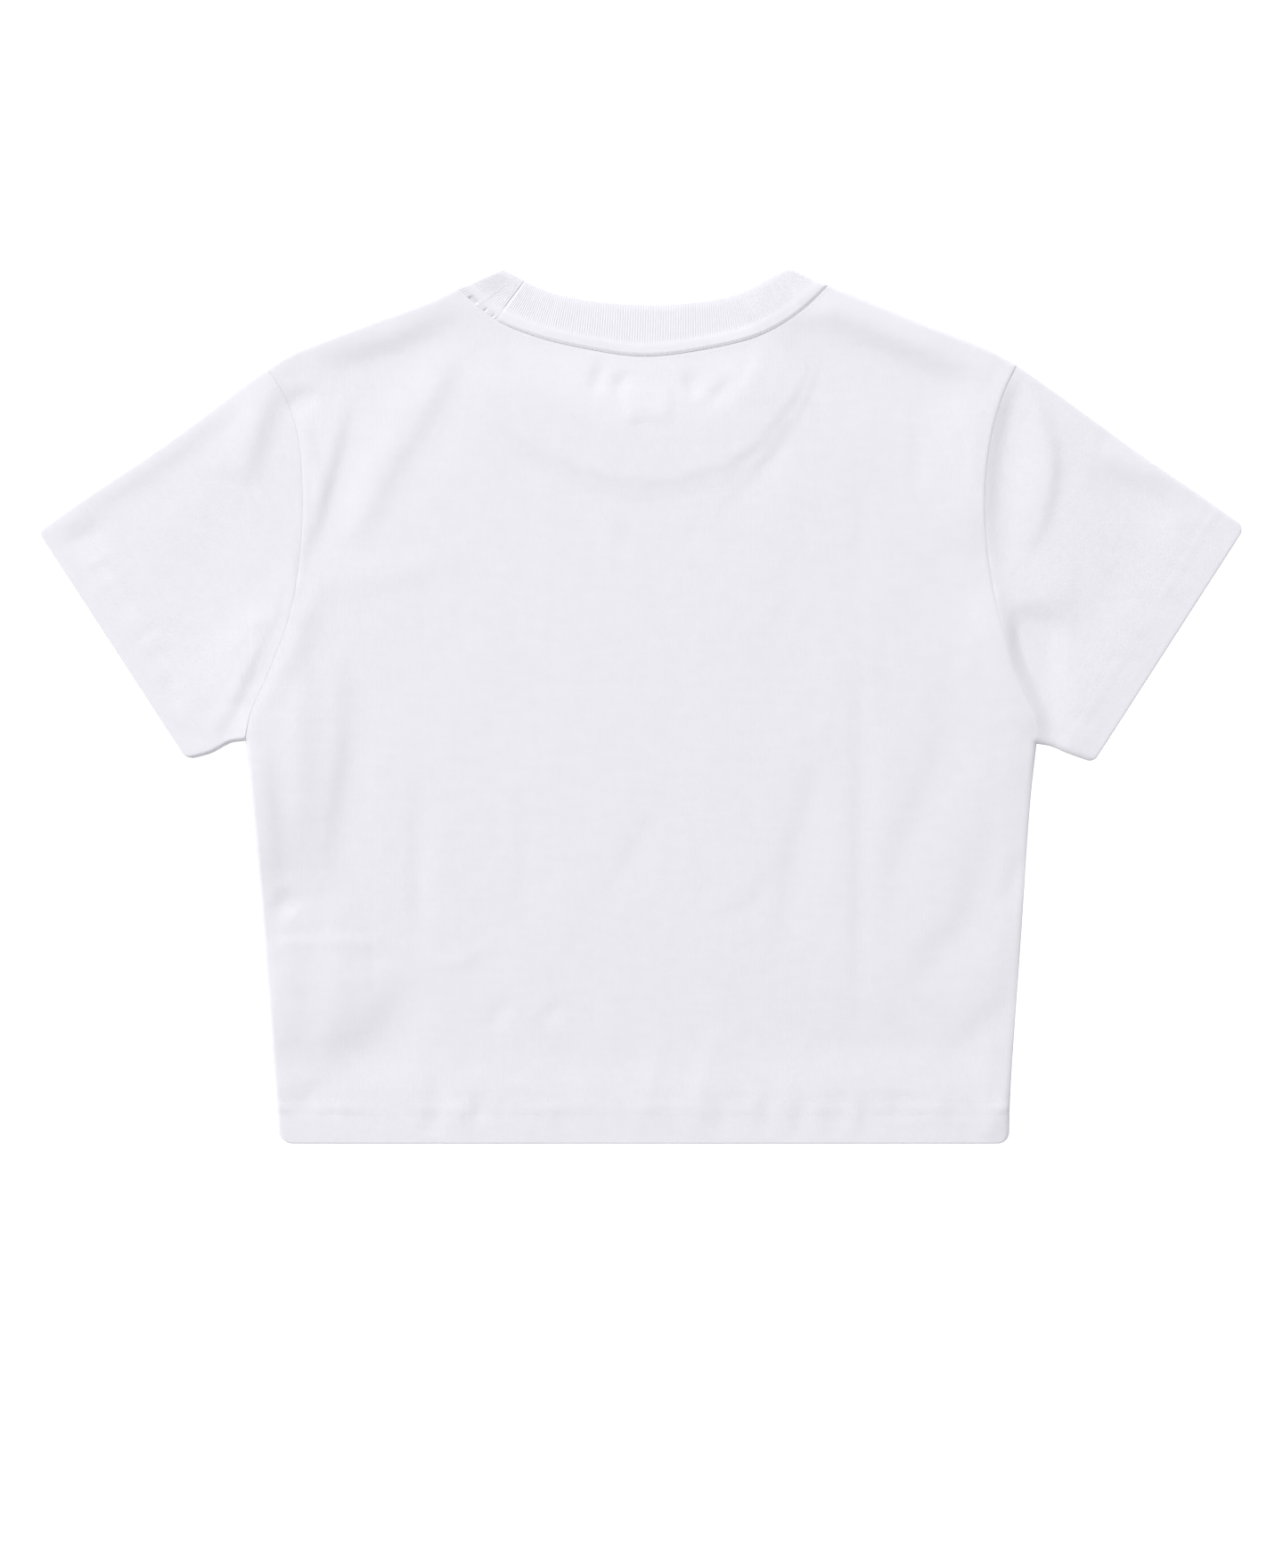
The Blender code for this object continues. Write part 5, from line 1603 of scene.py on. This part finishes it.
@dataclass
class Sleeve:
    """A sleeve: a flattened tube of jersey with its cuff turned in."""

    drape: Drape
    finish: bpy.types.Material
    side: Side
    step: float = 0.0026
    wall: float = 0.00078
    hem_wall: float = 0.00150
    swell: float = 0.0003  # how far the lower half is pressed up off the surface
    swells: Grain = Grain(0.030, 0.030, 25)

    def build(self) -> bpy.types.Object:
        """Makes the sleeve's shell."""
        zone = Zone(self.side.value)
        gridding = Gridding(self.step)
        halves, grains = [], []
        for layer in Layer:
            grid = gridding.sleeve(self.drape, self.side, layer)
            shape = grid.shape[:2]
            flat = grid.reshape(-1, 2)
            wall = self.drape.shell_wall(flat, zone, self.wall, self.hem_wall)
            if layer is Layer.UPPER:
                sides = self.drape.upper(flat, zone, wall, wall, self.drape.roll_height)
            else:
                relief = self.swells.crests(flat, self.swell)
                sides = self.drape.lower(flat, wall, wall, self.drape.roll_height, relief)
            halves.append([points.reshape(*shape, 3) for points in sides])
            grains.append(self.grain(flat).reshape(*shape, 2))
        outer, inner = (ring(*both) for both in zip(*halves))
        grain = ring(*grains)
        for fold in (0, halves[0][0].shape[1] - 1):
            outer[:, fold, 2] = self.drape.roll_height
            inner[:, fold, 2] = self.drape.roll_height
        cloth = Shell()
        out = cloth.add(outer, grain)
        end = cloth.add(rounded_end(outer[-1], inner[-1], self.outward()), grain[-1:])
        into = cloth.add(inner, grain)
        cloth.skin(out, closed=True)
        cloth.skin(into[:, ::-1], closed=True)
        cloth.skin(np.vstack([out[-1:], end, into[-1:]]), closed=True)
        cloth.skin(np.vstack([into[:1], out[:1]]), closed=True)
        piece = cloth.build(f"sleeve_{self.side.value}_cloth", self.finish)
        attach(piece, "root")
        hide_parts(f"sleeve_{self.side.value}")
        report(piece)
        return piece

    def cuff_run(self) -> np.ndarray:
        """The direction in which the cuff's edge runs up."""
        low, high = self.drape.plan.cuffs[self.side].points
        return (high - low) / np.linalg.norm(high - low)

    def outward(self) -> np.ndarray:
        """The direction in which the cuff's edge faces."""
        run, turn = self.cuff_run(), self.side.turn
        return np.array([run[1] * turn, -run[0] * turn, 0.0])

    def grain(self, plan: np.ndarray) -> np.ndarray:
        """Distances across and along the wales, which run down the sleeve to its cuff."""
        run = self.cuff_run()
        offset = plan - self.drape.plan.cuffs[self.side].points[0]
        return np.column_stack([offset @ run, offset @ np.array([run[1], -run[0]])])


@dataclass
class Neckband:
    """The neckband: a flattened ring of folded rib, with its seam allowance raised beneath it."""

    drape: Drape
    finish: bpy.types.Material
    pitch: float = 0.00145
    points_per_rib: int = 5
    roll_steps: int = 9
    least_gap: float = 0.3  # between two columns, in the columns of a rib
    relief: float = 0.00036
    rib_fullness: float = 0.7  # the power that makes the ribs fuller than their furrows
    rib_middle: float = 0.6  # the share of their height that lies at the face's own level
    lean: float = 0.05  # how the ribs crowd together at the ends of the edge
    faint: float = 0.15  # how strong they are over the seam allowance
    clear_reach: float = 0.002  # past it, over which they come up
    gathered: float = 0.6  # how much stronger they are where the seam gathers them
    gather_at: float = 0.0006
    gather_width: float = 0.0010
    edge_fade: float = 0.6  # how much of them is gone at the folded edge
    edge_fade_from: float = 0.86
    back_share: float = 0.5  # of their height, on the wall's inner face
    front_middle: float = 0.5  # on the front half: the face's level, and the ribs' height
    front_share: float = 0.6
    roll: float = 0.0065  # the smooth band over the seam allowance
    roll_end: tuple[float, float] = (-0.0010, 0.0012)  # where it slopes down, from there
    rise: float = 0.00032
    rise_fade: float = 0.7  # how much of the rise is gone at the right end
    rise_fade_from: float = 0.75
    drop: float = 0.00060
    wall: float = 0.00150
    seam_wall: float = 0.0008
    seam_wall_share: float = 0.25  # of the width, over which the rolled wall thickens
    join: float = 20.0  # the rib that the ring is closed along
    join_depth: float = 0.00048
    join_width: float = 0.0008
    # how deep the seam is drawn in, and how wide its flank is, by the share of the way round
    seam_depths: Table = (
        (0.0, 0.036, 0.042, 0.060, 0.066, 0.086, 0.090, 0.096,
         0.110, 0.114, 0.120, 0.13, 0.17, 0.24, 0.90, 1.0),
        (1.5, 1.5, 3.0, 3.0, 1.5, 1.5, 2.6, 1.5,
         1.5, 2.4, 1.4, 1.0, 0.9, 1.0, 1.0, 0.6),
    )
    shoulders: Table = (
        (0.0, 0.115, 0.135, 0.24, 0.88, 1.0),
        (0.0040, 0.0034, 0.0014, 0.0017, 0.0017, 0.0012),
    )
    # the mesh's rows, by the share of the way from the seam to the folded edge
    shares: tuple[float, ...] = (
        0.0, 0.02, 0.04, 0.06, 0.08, 0.11, 0.15, 0.19, 0.23, 0.27, 0.31, 0.38, 0.52, 0.7, 0.86, 1.0,
    )

    def columns(self, layer: Layer) -> tuple[np.ndarray, np.ndarray, np.ndarray]:
        """Points along the seam and along the folded edge of one half, and each one's rib count."""
        drape = self.drape
        seam = drape.plan.neck_seams[layer].moved_left(drape.visible_gap)
        edge = drape.plan.neck_edges[layer].moved_left(-self.wall / 2)
        count = round(seam.length / self.pitch) * self.points_per_rib
        rolled = Gridding(self.pitch / self.points_per_rib, roll_steps=self.roll_steps)
        marks = rolled.marks_between(seam.length, drape.roll_reach)
        marks = np.unique(np.concatenate([marks, np.linspace(0.0, seam.length, count + 1)[1:-1]]))
        least = self.least_gap * self.pitch / self.points_per_rib
        keep = np.concatenate([[True], np.diff(marks) > least])
        keep[-1] = True
        marks = marks[keep]
        ribs = marks / self.pitch
        share = marks / seam.length
        spread = share - self.lean * np.sin(2 * math.pi * share)
        return seam.at(marks), edge.at(spread * edge.length), ribs

    def face(
        self, share: float, width: np.ndarray, places: np.ndarray,
    ) -> tuple[np.ndarray, np.ndarray]:
        """Draws the band's profile from its seam.

        Args:
            share: The share of the band's width.
            width: The band's width at each column.
            places: Each column's share of the way round.

        Returns:
            How far its face is raised, and how strong its ribs are.
        """
        along = share * width
        raised = self.rise * (1 - self.rise_fade * blend(places, self.rise_fade_from, 1.0))
        raised = raised * (1 - blend(along, *(self.roll + each for each in self.roll_end)))
        depth = np.interp(places, *self.seam_depths)
        flank = 1 - blend(along / np.interp(places, *self.shoulders), 0.0, 1.0)
        raised = raised - self.drop * depth * flank
        clear = blend(along, self.roll, self.roll + self.clear_reach)
        gathered = self.gathered * bump(along, self.gather_at, self.gather_width)
        return raised, self.faint + (1 - self.faint) * clear + gathered

    def join_groove(self, ribs: np.ndarray) -> np.ndarray:
        """The seam that closes the ring: a narrow groove along a rib."""
        away = np.abs(ribs - self.join) * self.pitch
        return -self.join_depth * bump(away, 0.0, self.join_width)

    def half(self, layer: Layer) -> tuple[np.ndarray, np.ndarray, np.ndarray]:
        """Outer and inner points of half the band, one row for each share, and its grain."""
        seam, edge, ribs = self.columns(layer)
        drape, middle = self.drape, self.drape.roll_height
        width = np.linalg.norm(edge - seam, axis=1)
        wave = 0.5 + 0.5 * np.cos(2 * math.pi * ribs)
        profile = self.relief * (wave**self.rib_fullness - self.rib_middle)
        outers, inners, grains = [], [], []
        for share in self.shares:
            plan = seam + (edge - seam) * share
            thickened = min(1.0, share / self.seam_wall_share)
            edge_wall = self.seam_wall + (self.wall - self.seam_wall) * thickened
            raised, ribbed = self.face(share, width, ribs / ribs[-1])
            faded = self.edge_fade * blend(np.array(share), self.edge_fade_from, 1.0)
            ribbed = ribbed * (1.0 - faded)
            if layer is Layer.UPPER:
                wall = np.full(len(plan), self.wall)
                extra = raised + ribbed * (profile + self.join_groove(ribs))
                outer, inner = drape.upper(
                    plan, Zone.BODY, wall, edge_wall, middle, extra, drape.rib,
                )
                inner[:, 2] -= self.back_share * ribbed * profile
            else:
                relief = ribbed * (self.front_middle * self.relief - profile) * self.front_share
                outer, inner = drape.lower(plan, self.wall, edge_wall, middle, relief)
            outers.append(outer)
            inners.append(inner)
            grains.append(np.column_stack([ribs * self.pitch, share * width]))
        return np.array(outers), np.array(inners), np.array(grains)

    def build(self) -> bpy.types.Object:
        """Makes the band's shell."""
        halves = [self.half(layer) for layer in Layer]
        outer, inner, grain = (ring(*both) for both in zip(*halves))
        for face in (outer, inner):
            face[:, [0, halves[0][0].shape[1] - 1], 2] = self.drape.roll_height
        across = outer[-1] - outer[-2]
        across[:, 2] = 0.0
        ahead = across / np.linalg.norm(across, axis=1)[:, None]
        cloth = Shell()
        out = cloth.add(outer, grain)
        edge = cloth.add(rounded_end(outer[-1], inner[-1], ahead), grain[-1:])
        into = cloth.add(inner, grain)
        cloth.skin(out, closed=True)
        cloth.skin(np.vstack([out[-1:], edge, into[-1:]]), closed=True)
        cloth.skin(into[::-1], closed=True)
        cloth.skin(np.vstack([into[:1], out[:1]]), closed=True)
        piece = cloth.build("neckband_rib", self.finish)
        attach(piece, "root")
        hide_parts("neck_rib")
        report(piece)
        return piece


# ---------------- studio


@dataclass(frozen=True)
class Studio:
    """The paper, the light and the camera straight above."""

    paper_size: float = 14.0
    paper_drop: float = 0.0004  # below the shirt
    lens: float = 85.0
    sensor: float = 36.0
    frame_height: float = 0.880  # what the camera takes in, from top to bottom
    centre_across: float = 0.0
    centre_up: float = 0.2015
    key_azimuth: float = 35.0  # degrees to the left of the neck's direction
    key_elevation: float = 45.0
    key_distance: float = 9.0
    key_size: float = 5.0
    key_power: float = 828.0
    fill: float = 0.512
    backdrop: float = 1.05  # how bright the surroundings look to the camera

    def build(self) -> None:
        """Makes the paper, the light, the surroundings and the camera."""
        bpy.ops.object.select_all(action="DESELECT")
        bpy.ops.mesh.primitive_plane_add(
            size=self.paper_size, location=(0.0, 0.0, -self.paper_drop),
        )
        paper = bpy.context.active_object
        paper.name = "studio_paper"
        bpy.ops.object.transform_apply(location=True, rotation=True, scale=True)
        paper.data.materials.append(FloorFinish().material())
        self.light()
        self.surroundings()
        self.camera()

    def light(self) -> None:
        """Hangs one large soft lamp beyond the left shoulder."""
        lamp = bpy.data.lights.new("softbox", "AREA")
        lamp.shape = "SQUARE"
        lamp.size = self.key_size
        lamp.energy = self.key_power
        hung = linked("softbox", lamp)
        azimuth, elevation = math.radians(self.key_azimuth), math.radians(self.key_elevation)
        way = Vector((
            -math.sin(azimuth) * math.cos(elevation), math.cos(azimuth) * math.cos(elevation),
            math.sin(elevation),
        ))
        hung.location = way * self.key_distance
        hung.rotation_euler = way.to_track_quat("Z", "Y").to_euler()

    def surroundings(self) -> None:
        """Fills in with even white light, and shows clean white behind the paper."""
        world = bpy.data.worlds.new("studio")
        bpy.context.scene.world = world
        world.use_nodes = True
        tree = world.node_tree
        tree.nodes.clear()
        seen = tree.nodes.new("ShaderNodeLightPath")
        strength = tree.nodes.new("ShaderNodeMapRange")
        strength.inputs["To Min"].default_value = self.fill
        strength.inputs["To Max"].default_value = self.backdrop
        sky = tree.nodes.new("ShaderNodeBackground")
        out = tree.nodes.new("ShaderNodeOutputWorld")
        link_chain(
            tree,
            (seen.outputs["Is Camera Ray"], strength.inputs["Value"]),
            (strength.outputs["Result"], sky.inputs["Strength"]),
            (sky.outputs["Background"], out.inputs["Surface"]),
        )

    def camera(self) -> None:
        """Hangs the camera straight above the middle of what it takes in."""
        camera = bpy.data.cameras.new("camera")
        camera.lens = self.lens
        camera.sensor_width = self.sensor
        hung = linked("camera", camera)
        height = self.frame_height * self.lens / self.sensor
        hung.location = (
            self.centre_across - FRAME_MIDDLE[0], self.centre_up - FRAME_MIDDLE[1], height,
        )
        bpy.context.scene.camera = hung
        bpy.context.scene.view_settings.view_transform = "Standard"


# ---------------- the shirt


@dataclass(frozen=True)
class StitchRows:
    """Where the rows of stitches run, in metres, and what their unevenness starts from."""

    side_inset: float = 0.003  # of the hem's rows, from the sides
    end_inset: float = 0.004  # of the neckline's and the cuffs' rows, from their ends
    neck_drop: float = 0.0022  # of the neckline's row, below the neckband's seam
    neck_pitch: float = 0.0028
    neck_points: int = 90
    cuff_points: int = 20
    hem_seed: int = 31
    neck_seed: int = 37
    cuff_seed: int = 41
    label_across: tuple[float, ...] = (-0.0150, 0.0210)
    label_up: tuple[float, ...] = (0.4500, 0.4465, 0.4432)
    label_way: tuple[float, float] = (0.12, 1.0)

    def inset(self, line: Path, points: int) -> Path:
        """A line again, without its ends."""
        return Path(line.at(np.linspace(self.end_inset, line.length - self.end_inset, points)))

    def across(self, plan: Plan, height: float) -> Path:
        """The straight line from side to side of the body at a height."""
        left, right = (
            np.interp(height, edge.points[:, 1], edge.points[:, 0]) for edge in plan.sides.values()
        )
        return Path(np.array([
            [left + self.side_inset, height], [right - self.side_inset, height],
        ]))

    def label(self) -> list[tuple[np.ndarray, np.ndarray]]:
        """The places and the direction of the stitches that hold the label's corners."""
        way = np.array(self.label_way) / math.hypot(*self.label_way)
        return [(np.array([x, y]), way) for x in self.label_across for y in self.label_up]


class Shirt:
    """The whole shirt."""

    def __init__(self) -> None:
        """Draws the plan and mixes the finishes."""
        self.drape = Drape(Plan())
        groups = {"knit_loops": KnitLoops().group(), "cotton_tone": CottonTone().group()}
        self.jersey = KnitFinish("white_jersey").material(groups)
        self.rib = KnitFinish(
            "white_rib", wale=0.00145, course=0.00062, light=(0.805, 0.797, 0.845),
            loop_depth=0.00005,
        ).material(groups)
        self.seamstress = Seamstress(ThreadFinish().material())

    def build(self) -> None:
        """Makes and sews every piece; each one hides the imported part that it stands for."""
        back = BodyPanel(self.drape, self.jersey, Layer.UPPER, "back_panel").build()
        front = BodyPanel(self.drape, self.jersey, Layer.LOWER, "front_panel", step=0.0032).build()
        sleeves = {side: Sleeve(self.drape, self.jersey, side).build() for side in Side}
        band = Neckband(self.drape, self.rib).build()
        sewn = self.sew(back, front, sleeves, band)

    def sew(
        self, back: bpy.types.Object, front: bpy.types.Object,
        sleeves: dict[Side, bpy.types.Object], band: bpy.types.Object,
    ) -> dict[str, bpy.types.Object]:
        """Sews the hems, the neckline and the label's corners.

        Args:
            back: The back panel's cloth.
            front: The front panel's cloth.
            sleeves: The sleeves' cloth.
            band: The neckband.

        Returns:
            The rows of stitches, by the piece that they are on.
        """
        drape, sew, where = self.drape, self.seamstress, StitchRows()
        sewing = drape.sewing
        rows = {}
        for layer, cloth, name in ((Layer.UPPER, back, "back"), (Layer.LOWER, front, "front")):
            stitches = []
            for k, height in enumerate((sewing.row_low, sewing.row_high)):
                line = where.across(drape.plan, height)
                stitches += sew.row(line, sewing.pitch, where.hem_seed + k)
            neck = drape.plan.neck_seams[layer].moved_left(-where.neck_drop)
            line = where.inset(neck, where.neck_points)
            stitches += sew.row(line, where.neck_pitch, where.neck_seed)
            rows[name] = sew.sew(f"{name}_stitches", cloth, stitches, layer)
        for side, cloth in sleeves.items():
            shift = drape.cuff_depth - drape.hem_depth
            pieces = []
            for layer in Layer:
                stitches = []
                for k, height in enumerate((sewing.row_low + shift, sewing.row_high + shift)):
                    cuff = drape.plan.cuffs[side].moved_left(side.turn * height)
                    line = where.inset(cuff, where.cuff_points)
                    stitches += sew.row(line, sewing.pitch, where.cuff_seed + k)
                pieces.append(sew.sew(f"cuff_{side.value}_{layer.value}", cloth, stitches, layer))
            rows[side.value] = self.joined(pieces, f"cuff_{side.value}_stitches")
        rows["label"] = sew.sew("label_stitches", band, where.label(), Layer.UPPER)
        for piece in rows.values():
            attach(piece, "root")
            report(piece)
        return rows

    def joined(self, pieces: list[bpy.types.Object], name: str) -> bpy.types.Object:
        """One object from several."""
        bpy.ops.object.select_all(action="DESELECT")
        for piece in pieces:
            piece.select_set(True)
        bpy.context.view_layer.objects.active = pieces[0]
        bpy.ops.object.join()
        pieces[0].name = name
        pieces[0].data.name = name
        return pieces[0]


def main() -> None:
    """Builds the shirt and its studio, and keeps the model's size."""
    logging.basicConfig(level=logging.INFO, format="%(name)s: %(message)s")
    Shirt().build()
    Studio().build()


if __name__ == "__main__":
    main()
